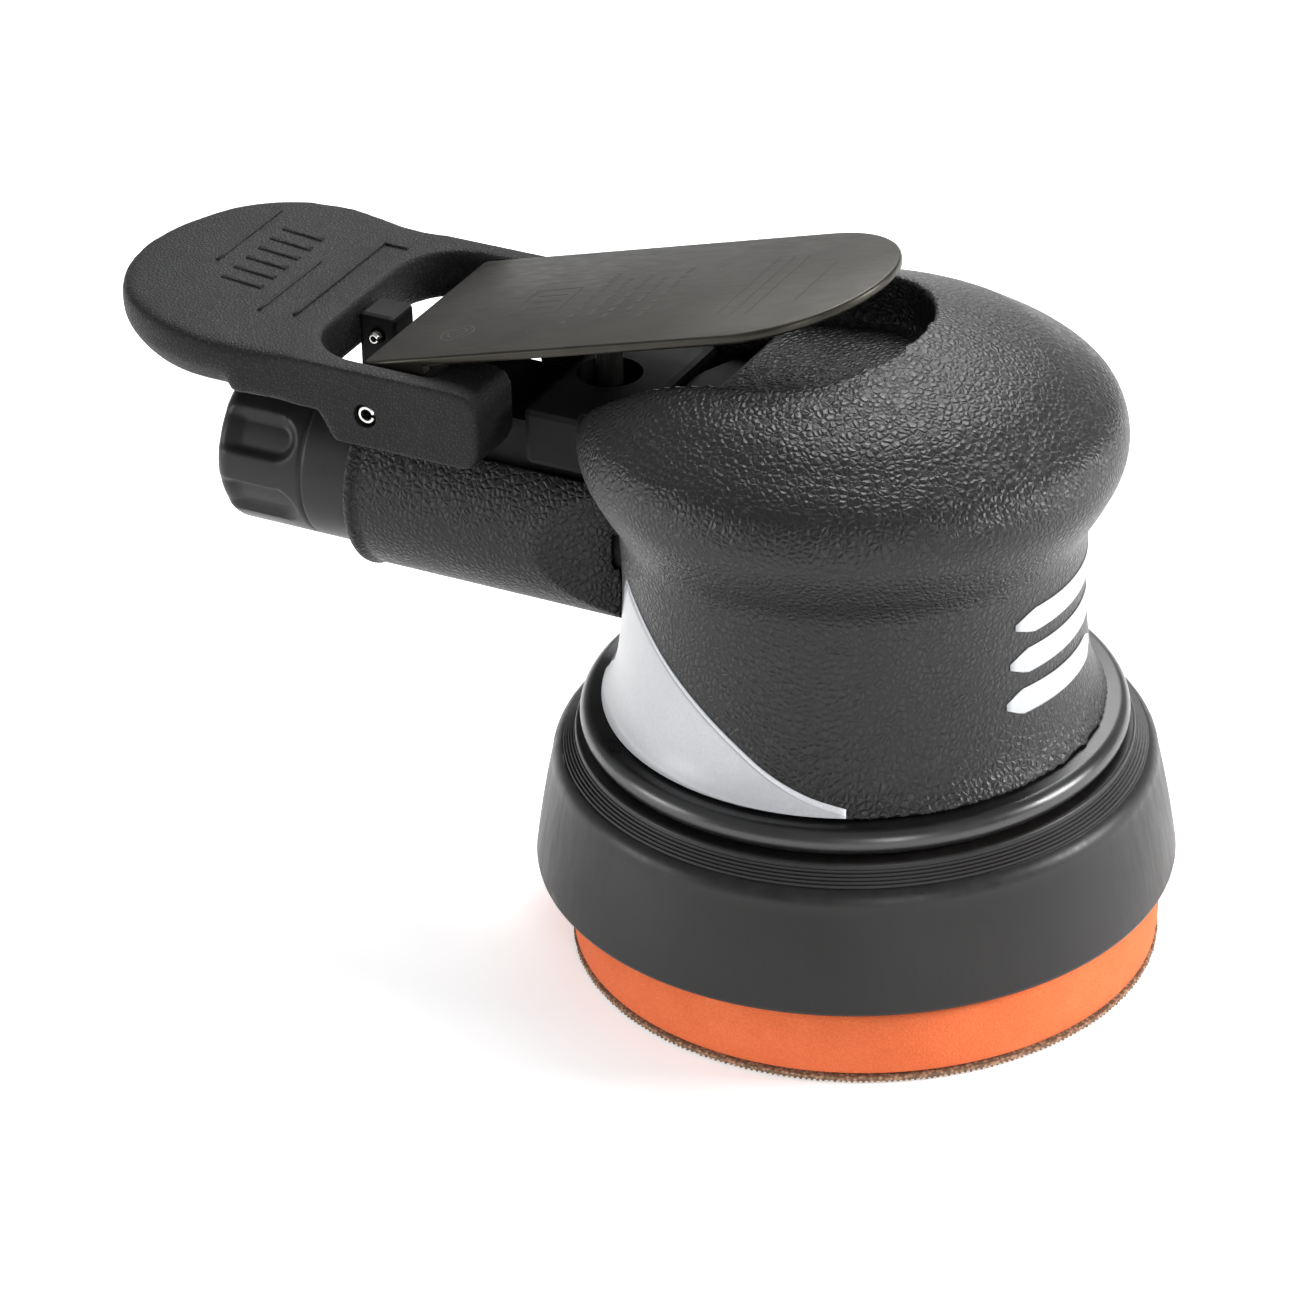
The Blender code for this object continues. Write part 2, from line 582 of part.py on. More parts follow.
def make_end_plates():
    clearance = 1.6 * MM
    pocket = LOWER_BEARING["outer"] + GAP
    hole = LOWER_BEARING["inner"] + clearance
    ceiling = LOWER_BEARING_Z + LOWER_BEARING["width"] + GAP
    lower = [(hole, LOWER_PLATE_TOP), (LINER_RADIUS, LOWER_PLATE_TOP), (LINER_RADIUS, LOWER_PLATE_Z),
             (pocket, LOWER_PLATE_Z), (pocket, ceiling), (hole, ceiling)]
    turned("lower_end_plate", lower, "steel", FINE)
    pocket = UPPER_BEARING["outer"] + GAP
    hole = UPPER_BEARING["inner"] + clearance
    floor = UPPER_PLATE_TOP - UPPER_BEARING["width"] - 2 * GAP
    upper = [(pocket, UPPER_PLATE_TOP), (LINER_RADIUS, UPPER_PLATE_TOP), (LINER_RADIUS, UPPER_PLATE_Z),
             (hole, UPPER_PLATE_Z), (hole, floor), (pocket, floor)]
    turned("upper_end_plate", upper, "steel", FINE)


def make_lock_ring():
    """Threaded ring that clamps the motor from below; its glossy bead shows under the grip."""
    inner = MOTOR_RADIUS - 1.9 * MM
    seat = COLLAR_RADIUS
    foot = BEAD_Z - 6.0 * MM
    swell = BEAD_HEIGHT / 2
    bead_centre = (BEAD_RADIUS - swell, BEAD_Z + swell)
    bead = arc(bead_centre, swell, 90, -90, 5)
    profile = [(inner, LOCK_TOP), (MOTOR_RADIUS - GAP, LOCK_TOP), (MOTOR_RADIUS - GAP, BEAD_TOP)]
    profile += bead
    profile += [(seat, BEAD_Z), (seat, foot + 1.4 * MM), (seat + 1.6 * MM, foot + 1.4 * MM),
                (seat + 1.6 * MM, foot), (inner, foot)]
    turned("lock_ring", profile, "gloss_black", FINE)


def make_skirt():
    """Rubber shroud: a collar under the bead, a rounded shoulder and a flared wall."""
    shoulder = SKIRT_SHOULDER
    top_radius = SKIRT_RIM_RADIUS - SKIRT_TAPER
    shoulder_z = SKIRT_TOP - shoulder - 2.6 * MM
    collar = COLLAR_RADIUS + GAP
    crest = arc((top_radius - shoulder, shoulder_z), shoulder, 80, 0, 5)
    profile = [(collar, SKIRT_TOP), (BEAD_RADIUS + 0.2 * MM, SKIRT_TOP)]
    profile += [(BEAD_RADIUS + 0.8 * MM, SKIRT_TOP - 0.6 * MM)]
    profile += crest
    profile += [(SKIRT_RIM_RADIUS, SKIRT_RIM), (SKIRT_RIM_RADIUS - SKIRT_WALL, SKIRT_RIM),
                (top_radius - SKIRT_WALL, shoulder_z), (top_radius - shoulder, SKIRT_TOP - 3.6 * MM),
                (collar, SKIRT_TOP - 3.4 * MM)]
    turned("skirt", profile, "rubber", FINE)


# ---------------------------------------------------------------- palm grip
def grip_profile(offset=0.0):
    """Outer outline of the grip, foot to crown, grown outwards by offset."""
    height = GRIP_TOP - GRIP_FOOT
    shape = [(0.00, GRIP_FOOT_RADIUS), (0.035, GRIP_FOOT_RADIUS - 1.4 * MM),
             (0.08, GRIP_WAIST_RADIUS + 1.3 * MM), (0.16, GRIP_WAIST_RADIUS + 0.5 * MM),
             (0.30, GRIP_WAIST_RADIUS), (0.44, GRIP_WAIST_RADIUS + 0.3 * MM),
             (0.50, GRIP_WAIST_RADIUS + 1.0 * MM), (0.57, GRIP_LOBE_RADIUS - 2.5 * MM),
             (0.64, GRIP_LOBE_RADIUS - 0.4 * MM), (0.70, GRIP_LOBE_RADIUS),
             (0.76, GRIP_LOBE_RADIUS - 1.1 * MM), (0.80, GRIP_LOBE_RADIUS - 3.4 * MM),
             (0.84, GRIP_LOBE_RADIUS - 7.0 * MM), (0.89, GRIP_LOBE_RADIUS - 12.2 * MM),
             (0.94, GRIP_LOBE_RADIUS - 20.8 * MM), (0.98, GRIP_LOBE_RADIUS - 31.0 * MM)]
    points = [(radius + offset, GRIP_FOOT + share * height) for share, radius in shape]
    return points + [(0.0, GRIP_TOP + offset)]


def trough_cutter():
    """The U-shaped recess that the lever sinks into, open to the rear."""
    half = LEVER_HALF_WIDTH + TROUGH_SIDE
    outline = [(TROUGH_REAR, -half), (TROUGH_CENTRE, -half)]
    for index in range(1, 12):
        angle = math.radians(-90 + 15 * index)
        outline.append((TROUGH_CENTRE + TROUGH_FRONT * math.cos(angle), half * math.sin(angle)))
    outline += [(TROUGH_CENTRE, half), (TROUGH_REAR, half)]
    tilt = math.atan(TROUGH_SLOPE)
    return plate("trough", outline, 40 * MM, location=(0, 0, TROUGH_FLOOR + 20 * MM),
                 rotation=(0, -tilt, 0))


def make_grip():
    outer = list(reversed(grip_profile()))
    ceiling = CAN_TOP + GAP
    lip = 1.0 * MM
    inner = [(CAVITY_RADIUS, GRIP_FOOT), (CAVITY_RADIUS, ceiling - lip),
             (CAVITY_RADIUS - lip, ceiling), (0.0, ceiling)]
    grip = turned("grip_cover", outer + inner, "grip", FINE, closed=False)
    boolean(grip, trough_cutter())
    slot = BLOCK_HALF_WIDTH + GAP
    boolean(grip, box("grip_block_slot", (-60 * MM, -slot, BLOCK_FOOT - GAP), (-20 * MM, slot, 120 * MM)))
    slot = RIDGE_HALF_WIDTH + GAP
    boolean(grip, box("grip_ridge_slot", (-60 * MM, -slot, HANDLE_LIFT), (-20 * MM, slot, 100 * MM)))
    tube = disc("grip_core_hole", CORE_RADIUS + GAP, 20 * MM, 60 * MM, location=(0, 0, HANDLE_LIFT),
                rotation=ALONG_HANDLE)
    boolean(grip, tube)


# ---------------------------------------------------------------- housing and handle
def make_housing():
    can = [(0.0, CAN_TOP), (CAN_RADIUS - MM, CAN_TOP), (CAN_RADIUS, CAN_TOP - MM),
           (CAN_RADIUS, GRIP_FOOT), (MOTOR_RADIUS, GRIP_FOOT), (MOTOR_RADIUS, CAN_CEILING),
           (0.0, CAN_CEILING)]
    housing = turned("motor_housing", can, "housing", FINE, closed=False)
    core = disc("housing_core", CORE_RADIUS, MOTOR_RADIUS + 1.5 * MM, -CORE_END,
                location=(0, 0, HANDLE_LIFT), rotation=ALONG_HANDLE)
    boolean(housing, core, "UNION")
    block = box("housing_block", (BLOCK_REAR, -BLOCK_HALF_WIDTH, BLOCK_FOOT),
                (-MOTOR_RADIUS - 2.0 * MM, BLOCK_HALF_WIDTH, BLOCK_TOP))
    bevel(block, 1.2 * MM)
    ridge = box("housing_ridge", (CORE_END + 3 * MM, -RIDGE_HALF_WIDTH, HANDLE_LIFT + 2 * MM),
                (-MOTOR_RADIUS - 2.2 * MM, RIDGE_HALF_WIDTH, RIDGE_TOP))
    barrel = disc("hinge_barrel", BARREL_RADIUS, -BARREL_HALF_WIDTH, BARREL_HALF_WIDTH, steps=24,
                  location=(HINGE_X, 0, HINGE_Z), rotation=ACROSS)
    web = box("hinge_web", (HINGE_X - 3.2 * MM, -RIDGE_HALF_WIDTH - MM, HANDLE_LIFT + 3 * MM),
              (HINGE_X + 3.2 * MM, RIDGE_HALF_WIDTH + MM, HINGE_Z))
    lug = box("platform_lug", (ARCH_REAR + GAP, -LUG_HALF_WIDTH, RIDGE_TOP - 4 * MM),
              (LUG_X + LUG_AHEAD, LUG_HALF_WIDTH, LUG_PIN_Z + LUG_CAP))
    bevel(lug, 0.8 * MM)
    for addition in (block, ridge, web, barrel, lug):
        boolean(housing, addition, "UNION")
    cuts = [
        disc("inlet_bore", BUSHING_RADIUS + GAP, CAP_REAR - 0.8 * MM - BUSHING_LENGTH, 140 * MM,
             location=(0, 0, HANDLE_LIFT), rotation=ALONG_HANDLE),
        disc("inlet_passage", 3.2 * MM, -VALVE_X, -HINGE_X + 6 * MM, steps=16,
             location=(0, 0, INLET_Z), rotation=ALONG_HANDLE),
        disc("valve_bore", VALVE_BORE, VALVE_FLOOR, 100 * MM, steps=24, location=(VALVE_X, 0, 0)),
        disc("outlet_passage", 2.2 * MM, MOTOR_RADIUS - 2 * MM, -VALVE_X, steps=12,
             location=(0, 0, OUTLET_Z), rotation=ALONG_HANDLE),
        disc("hinge_hole", HINGE_PIN_RADIUS + GAP, -40 * MM, 40 * MM, steps=16,
             location=(HINGE_X, 0, HINGE_Z), rotation=ACROSS),
        disc("lug_hole", SMALL_PIN_RADIUS + GAP, -20 * MM, 20 * MM, steps=16,
             location=(LUG_X, 0, LUG_PIN_Z), rotation=ACROSS),
    ]
    for cut in cuts:
        boolean(housing, cut)


def make_handle_sleeve():
    """Textured overmould round the housing's tube, with flats that narrow it towards the head."""
    front = 30.0 * MM
    rear = -HANDLE_END
    lip = 0.5 * MM
    inner = CORE_RADIUS + GAP
    profile = [(inner, rear), (HANDLE_RADIUS + lip - 0.4 * MM, rear),
               (HANDLE_RADIUS + lip, rear - 0.4 * MM), (HANDLE_RADIUS + lip, rear - 1.0 * MM),
               (HANDLE_RADIUS, rear - 1.6 * MM), (HANDLE_RADIUS, front), (inner, front)]
    sleeve = turned("handle_sleeve", profile, "grip", 36, parent=handle_axis)
    clearance = turned("head_clearance", list(reversed(grip_profile(GAP))) + [(0.0, GRIP_FOOT)],
                       steps=FINE, closed=False)
    boolean(sleeve, clearance)
    for side in (-1, 1):
        narrowing = box("handle_flat", (0, 0, 0), (30 * MM, 20 * MM, 50 * MM),
                        location=(-45.5 * MM, side * HANDLE_RADIUS, 35 * MM),
                        rotation=(0, 0, math.radians(-21) if side > 0 else math.radians(-69)))
        boolean(sleeve, narrowing)
    slot = RIDGE_HALF_WIDTH + MM + GAP
    boolean(sleeve, box("ridge_slot", (-120 * MM, -slot, HANDLE_LIFT), (0, slot, 100 * MM)))
    wide = BLOCK_HALF_WIDTH + GAP
    boolean(sleeve, box("block_slot", (BLOCK_REAR - GAP, -wide, BLOCK_FOOT - GAP),
                        (0, wide, 100 * MM)))


def make_inlet():
    rear = CAP_REAR
    bushing_rear = rear - 0.5 * MM
    ring("inlet_bushing", INLET_BORE, BUSHING_RADIUS, bushing_rear - BUSHING_LENGTH, bushing_rear,
         "steel", parent=handle_axis)
    front = -HANDLE_END + GAP
    cavity = CAP_RADIUS - 2.6 * MM
    mouth = BUSHING_RADIUS + 1.6 * MM
    wall = CAP_WALL
    rim = 2.6 * MM
    nose = arc((CAP_RADIUS - rim, rear - rim), rim, 90, 0, 5)
    core_bore = CORE_RADIUS + GAP
    profile = [(mouth, rear)] + nose + [(CAP_RADIUS, front), (core_bore, front),
                                        (core_bore, -CORE_END + GAP), (cavity, -CORE_END + GAP),
                                        (cavity, rear - wall), (mouth, rear - wall)]
    cap = turned("muffler_cap", profile, "housing", 36, parent=handle_axis)
    flute_front = rear - FLUTE_LENGTH
    flute_reach = CAP_RADIUS - FLUTE_DEPTH + FLUTE_RADIUS
    for index in range(FLUTE_COUNT):
        angle = math.tau * index / FLUTE_COUNT + FLUTE_TURN
        flute = disc("cap_flute", FLUTE_RADIUS, flute_front, rear + 4 * MM, steps=36,
                     location=(flute_reach * math.cos(angle), flute_reach * math.sin(angle), 0),
                     parent=handle_axis)
        boolean(cap, flute)
    ring("muffler_felt", BUSHING_RADIUS + GAP, cavity - GAP, -CORE_END + 2 * GAP, rear - wall - GAP,
         "felt", parent=handle_axis)


# ---------------------------------------------------------------- throttle valve
def lever_underside(x):
    """Height of the underside of the lever's plate at rest above a point on the centre line."""
    square = (LEVER_RISE - LEVER_THICK) / math.cos(LEVER_ANGLE)
    return HINGE_Z + square + (x - HINGE_X) * math.tan(LEVER_ANGLE)


def make_valve():
    fit = VALVE_BORE - GAP
    ring("valve_seat", STEM_RADIUS + 0.8 * MM, fit, SEAT_Z, SEAT_Z + SEAT_THICK, "brass", 24,
         location=(VALVE_X, 0, 0))
    ring("stem_guide", STEM_RADIUS + GAP, fit, STEM_GUIDE_Z, RIDGE_TOP, "brass", 24,
         location=(VALVE_X, 0, 0))
    neck = STEM_NECK
    head = STEM_HEAD_RADIUS
    head_top = TIP_Z - GAP
    top = lever_underside(VALVE_X - STEM_RADIUS) - GAP
    stem = [(0.0, top), (1.0 * MM, top - 0.1 * MM), (STEM_RADIUS, top - 0.9 * MM),
            (STEM_RADIUS, SEAT_Z), (neck, SEAT_Z), (neck, head_top), (head, head_top),
            (head, head_top - STEM_HEAD), (0.0, head_top - STEM_HEAD)]
    turned("valve_stem", stem, "steel", 24, closed=False, parent=stem_axis)
    ring("valve_tip", neck + GAP, TIP_RADIUS, TIP_Z, SEAT_Z - GAP, "rubber", 24, parent=stem_axis)
    make_valve_spring(VALVE_FLOOR + GAP, head_top - STEM_HEAD - GAP)


def make_valve_spring(low, high):
    wire = 0.35 * MM
    radius = 3.3 * MM
    turns = 3.5
    curve = bpy.data.curves.new("valve_spring", "CURVE")
    curve.dimensions = "3D"
    curve.bevel_depth = wire
    curve.bevel_resolution = 1
    curve.use_fill_caps = True
    spline = curve.splines.new("POLY")
    count = int(turns * 10) + 1
    spline.points.add(count - 1)
    for index, point in enumerate(spline.points):
        share = index / (count - 1)
        angle = math.tau * turns * share
        height = low + wire + (high - low - 2 * wire) * share
        point.co = (radius * math.cos(angle), radius * math.sin(angle), height, 1.0)
    spring = bpy.data.objects.new("valve_spring", curve)
    spring.location = (VALVE_X, 0, 0)
    curve.materials.append(material("steel"))
    PARTS.objects.link(spring)
    weld = spring.modifiers.new("weld", "WELD")
    weld.merge_threshold = MERGE


# ---------------------------------------------------------------- lever and its pin
def make_lever():
    """Bent sheet: a flat plate with a round front, and an ear each side down to the hinge."""
    rear = -1.0 * MM
    centre = LEVER_REACH - LEVER_ROUND
    outline = [(rear, -LEVER_HALF_WIDTH), (centre, -LEVER_HALF_WIDTH)]
    for index in range(1, 12):
        angle = math.radians(-90 + 15 * index)
        outline.append((centre + LEVER_ROUND * math.cos(angle), LEVER_HALF_WIDTH * math.sin(angle)))
    outline += [(centre, LEVER_HALF_WIDTH), (rear, LEVER_HALF_WIDTH)]
    middle = LEVER_RISE - LEVER_THICK / 2
    lever = plate("throttle_lever", outline, LEVER_THICK, "lever_steel", parent=lever_axis)
    for vertex in lever.data.vertices:
        vertex.co.z += middle
    ear_front = 9.5 * MM
    ear_round = 3.4 * MM
    ear = [(rear, LEVER_RISE - 0.4 * MM)]
    ear += arc((0.0, 0.0), ear_round, 195, 330, 8)
    ear += [(ear_front, LEVER_RISE - LEVER_THICK - MM), (ear_front, LEVER_RISE - 0.4 * MM)]
    for side in (-1, 1):
        offset = side * (LEVER_HALF_WIDTH - LEVER_THICK / 2)
        cutter = plate("lever_ear", ear, LEVER_THICK, upright=True, parent=lever_axis,
                       location=(0, offset, 0))
        boolean(lever, cutter, "UNION")
    hole = disc("lever_hole", HINGE_PIN_RADIUS + GAP, -40 * MM, 40 * MM, steps=16, rotation=ACROSS,
                parent=lever_axis)
    boolean(lever, hole)


def make_pins():
    """Slotted spring pins: the lever's hinge pin and the small pin in the platform's lug."""
    half = ARM_HALF_WIDTH - 0.4 * MM
    pin = ring("hinge_pin", 0.9 * MM, HINGE_PIN_RADIUS, -half, half, "steel", 24,
               location=(HINGE_X, 0, HINGE_Z), rotation=ACROSS)
    boolean(pin, box("pin_slot", (HINGE_X, -60 * MM, HINGE_Z - 0.3 * MM),
                     (HINGE_X + 5 * MM, 60 * MM, HINGE_Z + 0.3 * MM)))
    small = SMALL_PIN_RADIUS
    reach = LUG_HALF_WIDTH + 1.4 * MM
    ring("platform_pin", 0.5 * MM, small, -reach, reach, "steel", 16,
         location=(LUG_X, 0, LUG_PIN_Z), rotation=ACROSS)


# ---------------------------------------------------------------- wrist platform
def make_platform():
    """Paddle behind the lever: its plan outline cut to its side outline, with two arms."""
    half = PLATFORM_HALF_WIDTH
    centre = PLATFORM_REAR + half
    plan = []
    for index in range(13):
        angle = math.radians(90 + 15 * index)
        plan.append((centre + half * math.cos(angle), half * math.sin(angle)))
    shoulder = ARCH_REAR + 1.0 * MM
    inner = ARM_HALF_WIDTH - ARM_WALL
    front = ARM_FRONT + 5 * MM
    end_back = HINGE_X + ARM_END_BACK
    end_inner = ARM_HALF_WIDTH - ARM_END_WIDTH
    plan += [(shoulder, -ARM_HALF_WIDTH), (front, -ARM_HALF_WIDTH), (front, -end_inner),
             (end_back, -end_inner), (end_back, -inner)]
    corner = ARCH_CORNER
    for sign in (-1, 1):
        turn = range(7) if sign < 0 else range(6, -1, -1)
        for index in turn:
            angle = math.radians(15 * index)
            plan.append((ARCH_REAR + corner - corner * math.sin(angle),
                         sign * (inner - corner + corner * math.cos(angle))))
    plan += [(end_back, inner), (end_back, end_inner), (front, end_inner),
             (front, ARM_HALF_WIDTH), (shoulder, ARM_HALF_WIDTH)]
    platform = plate("wrist_platform", plan, 60 * MM, "grip", location=(0, 0, PLATFORM_TOP))
    side = rounded_outline([
        (PLATFORM_REAR - 6 * MM, PLATFORM_TOP + 1.0 * MM, 0),
        (PLATFORM_REAR + 10.6 * MM, PLATFORM_TOP + 1.6 * MM, 12 * MM),
        (PLATFORM_REAR + 28.6 * MM, PLATFORM_TOP, 12 * MM), (ARM_FRONT, PLATFORM_TOP, 3 * MM),
        (ARM_FRONT, ARM_FOOT, 4 * MM), (HINGE_X - 5.6 * MM, ARM_FOOT, 0.8 * MM),
        (HINGE_X - 8.2 * MM, PLATFORM_FOOT, 0.8 * MM),
        (PLATFORM_REAR + 16.6 * MM, PLATFORM_FOOT, 12 * MM),
        (PLATFORM_REAR - 6 * MM, PLATFORM_TOP - 4.4 * MM, 0)])
    boolean(platform, plate("platform_side", side, 120 * MM, upright=True), "INTERSECT")
    bevel(platform, 1.4 * MM, 2, 50)
    undercut = turned("platform_undercut", [
        (half - 2.6 * MM, PLATFORM_FOOT - 3 * MM), (half - 2.6 * MM, PLATFORM_FOOT),
        (half - 0.5 * MM, PLATFORM_TOP - 3.8 * MM), (half + 9 * MM, PLATFORM_TOP - 3.8 * MM),
        (half + 9 * MM, PLATFORM_FOOT - 3 * MM)], steps=44, location=(centre, 0, 0))
    rear_half = box("undercut_half", (-half - 10 * MM, -half - 10 * MM, PLATFORM_FOOT - 4 * MM),
                    (0, half + 10 * MM, PLATFORM_TOP), location=(centre, 0, 0))
    boolean(undercut, rear_half, "INTERSECT")
    boolean(platform, undercut)
    hole = disc("arm_hole", HINGE_PIN_RADIUS + GAP, -40 * MM, 40 * MM, steps=16,
                location=(HINGE_X, 0, HINGE_Z), rotation=ACROSS)
    boolean(platform, hole)


make_pad()
make_spindle()
make_bearing("pad_bearing", PAD_BEARING, PAD_BEARING_Z, pad_axis)
make_shaft_balancer()
make_rotor()
make_bearing("lower_bearing", LOWER_BEARING, LOWER_BEARING_Z, motor_axis)
make_bearing("upper_bearing", UPPER_BEARING, UPPER_PLATE_TOP - UPPER_BEARING["width"] - GAP, motor_axis)
make_cylinder_liner()
make_end_plates()
make_lock_ring()
make_skirt()
make_grip()
make_housing()
make_handle_sleeve()
make_inlet()
make_valve()
make_lever()
make_pins()
make_platform()
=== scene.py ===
"""Looks of the orbital sander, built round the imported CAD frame.

Frame: +Z up along the motor axis, the handle runs along -X, the sanding face lies on z = 0.
"""
import json
import math

import bmesh
import bpy
import numpy as np
from mathutils import Matrix, Vector


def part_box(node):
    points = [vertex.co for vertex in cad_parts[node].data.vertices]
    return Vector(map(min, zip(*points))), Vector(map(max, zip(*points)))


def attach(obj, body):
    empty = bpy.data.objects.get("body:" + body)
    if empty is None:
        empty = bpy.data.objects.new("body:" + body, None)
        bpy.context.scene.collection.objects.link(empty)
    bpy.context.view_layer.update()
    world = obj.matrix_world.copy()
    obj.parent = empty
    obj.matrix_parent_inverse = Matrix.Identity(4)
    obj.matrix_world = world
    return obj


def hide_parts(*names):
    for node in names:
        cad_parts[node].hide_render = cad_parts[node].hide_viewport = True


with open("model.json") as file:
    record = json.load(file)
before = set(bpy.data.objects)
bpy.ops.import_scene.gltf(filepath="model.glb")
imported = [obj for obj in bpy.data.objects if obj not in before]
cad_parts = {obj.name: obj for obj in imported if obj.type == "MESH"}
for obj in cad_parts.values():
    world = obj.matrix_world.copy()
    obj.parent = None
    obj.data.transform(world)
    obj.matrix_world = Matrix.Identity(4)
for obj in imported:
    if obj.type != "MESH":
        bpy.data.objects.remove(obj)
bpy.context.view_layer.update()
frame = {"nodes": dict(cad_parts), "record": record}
MM = 0.001

# ------------------------------------------------------------ sizes read from the frame
PAD_LOW, PAD_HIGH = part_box("pad_foam")
PAD_CENTRE = (PAD_LOW + PAD_HIGH) / 2
PAD_RADIUS = (PAD_HIGH.y - PAD_LOW.y) / 2
HOOK_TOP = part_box("pad_hook_face")[1].z
SKIRT_LOW, SKIRT_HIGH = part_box("skirt")
RING_LOW, RING_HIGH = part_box("lock_ring")
GRIP_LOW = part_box("grip_cover")[0]
GRIP_FOOT = GRIP_LOW.z
SLEEVE_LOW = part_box("handle_sleeve")[0]
CAP_LOW, CAP_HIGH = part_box("muffler_cap")
HANDLE_Z = (CAP_LOW.z + CAP_HIGH.z) / 2
PIN_LOW, PIN_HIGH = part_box("hinge_pin")
HINGE = (PIN_LOW + PIN_HIGH) / 2
SMALL_LOW, SMALL_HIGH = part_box("platform_pin")
SMALL_PIN = (SMALL_LOW + SMALL_HIGH) / 2
PLATFORM_LOW, PLATFORM_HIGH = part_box("wrist_platform")

# ------------------------------------------------------------ sizes that repeat the CAD's
GRIP_HEIGHT = 63.2 * MM
FOOT_RADIUS = 38.0 * MM
WAIST_RADIUS = 34.2 * MM
LOBE_RADIUS = 40.3 * MM
CAVITY_RADIUS = 31.7 * MM
CAVITY_TOP = 82.5 * MM
TROUGH_FLOOR = 90.5 * MM
TROUGH_SLOPE = 0.13
TROUGH_HALF = 20.3 * MM
HANDLE_RADIUS = 15.0 * MM
CORE_RADIUS = 10.4 * MM
LEVER_ANGLE = math.radians(15.9)
LEVER_THICK = 1.5 * MM
LEVER_HALF = 18.8 * MM
LEVER_REACH = 79.4 * MM
LEVER_RISE = 6.8 * MM


# ------------------------------------------------------------ camera, lights and floor
def camera():
    """The photograph's view: 28.5 degrees round from the tool's right side, 30 degrees up."""
    around = math.radians(28.5)
    up = math.radians(29.84)
    roll = math.radians(-1.59)
    distance = 0.9
    focal_pixels = 5899.0
    frame_pixels = 1300.0
    film_width = 36.0
    focal = focal_pixels / frame_pixels
    aim_right = 206.4 / focal_pixels * distance
    aim_up = -262.9 / focal_pixels * distance
    look = Vector((-math.sin(around) * math.cos(up), math.cos(around) * math.cos(up), -math.sin(up)))
    flat_right = Vector((math.cos(around), math.sin(around), 0.0))
    flat_up = flat_right.cross(look)
    right = flat_right * math.cos(roll) + flat_up * math.sin(roll)
    top = flat_up * math.cos(roll) - flat_right * math.sin(roll)
    data = bpy.data.cameras.new("camera")
    data.sensor_fit = "HORIZONTAL"
    data.sensor_width = film_width
    data.lens = focal * film_width
    data.clip_start = 0.05
    data.clip_end = 20.0
    obj = bpy.data.objects.new("camera", data)
    bpy.context.scene.collection.objects.link(obj)
    place = -(look * distance + right * aim_right + top * aim_up)
    turn = Matrix((right, top, -look)).transposed().to_4x4()
    obj.matrix_world = Matrix.Translation(place) @ turn
    bpy.context.scene.camera = obj


def area_light(name, place, aim, size, power):
    data = bpy.data.lights.new(name, "AREA")
    data.shape = "RECTANGLE"
    data.size, data.size_y = size
    data.energy = power
    obj = bpy.data.objects.new(name, data)
    bpy.context.scene.collection.objects.link(obj)
    obj.location = place
    obj.rotation_euler = (Vector(aim) - Vector(place)).to_track_quat("-Z", "Y").to_euler()


def studio():
    scene = bpy.context.scene
    scene.view_settings.view_transform = "Standard"
    world = bpy.data.worlds.new("studio")
    scene.world = world
    world.use_nodes = True
    backdrop = world.node_tree.nodes["Background"]
    backdrop.inputs["Color"].default_value = (0.97, 0.98, 1.0, 1.0)
    backdrop.inputs["Strength"].default_value = 0.42
    middle = (-0.03, 0.0, 0.06)
    area_light("top_box", (-0.10, 0.42, 0.86), middle, (0.45, 0.45), 8.0)
    area_light("right_box", (0.86, 0.38, 0.36), (0.0, 0.0, 0.06), (0.30, 0.30), 9.0)
    area_light("front_strip", (0.72, -0.80, 0.40), (0.0, 0.0, 0.05), (0.14, 0.5), 3.0)
    area_light("left_fill", (-0.85, -0.60, 0.20), middle, (0.4, 0.3), 3.2)
    area_light("rear_box", (-0.30, 0.75, 0.60), middle, (0.7, 0.4), 3.0)
    mesh = bpy.data.meshes.new("floor")
    form = bmesh.new()
    bmesh.ops.create_grid(form, x_segments=1, y_segments=1, size=4.0)
    form.to_mesh(mesh)
    form.free()
    floor = bpy.data.objects.new("floor", mesh)
    floor.location.z = -0.05 * MM
    scene.collection.objects.link(floor)
    pale = bpy.data.materials.new("floor_pale")
    pale.use_nodes = True
    shader = pale.node_tree.nodes["Principled BSDF"]
    shader.inputs["Base Color"].default_value = (0.93, 0.93, 0.93, 1.0)
    shader.inputs["Roughness"].default_value = 0.9
    shader.inputs["Emission Color"].default_value = (1.0, 1.0, 1.0, 1.0)
    shader.inputs["Emission Strength"].default_value = 0.42
    mesh.materials.append(pale)


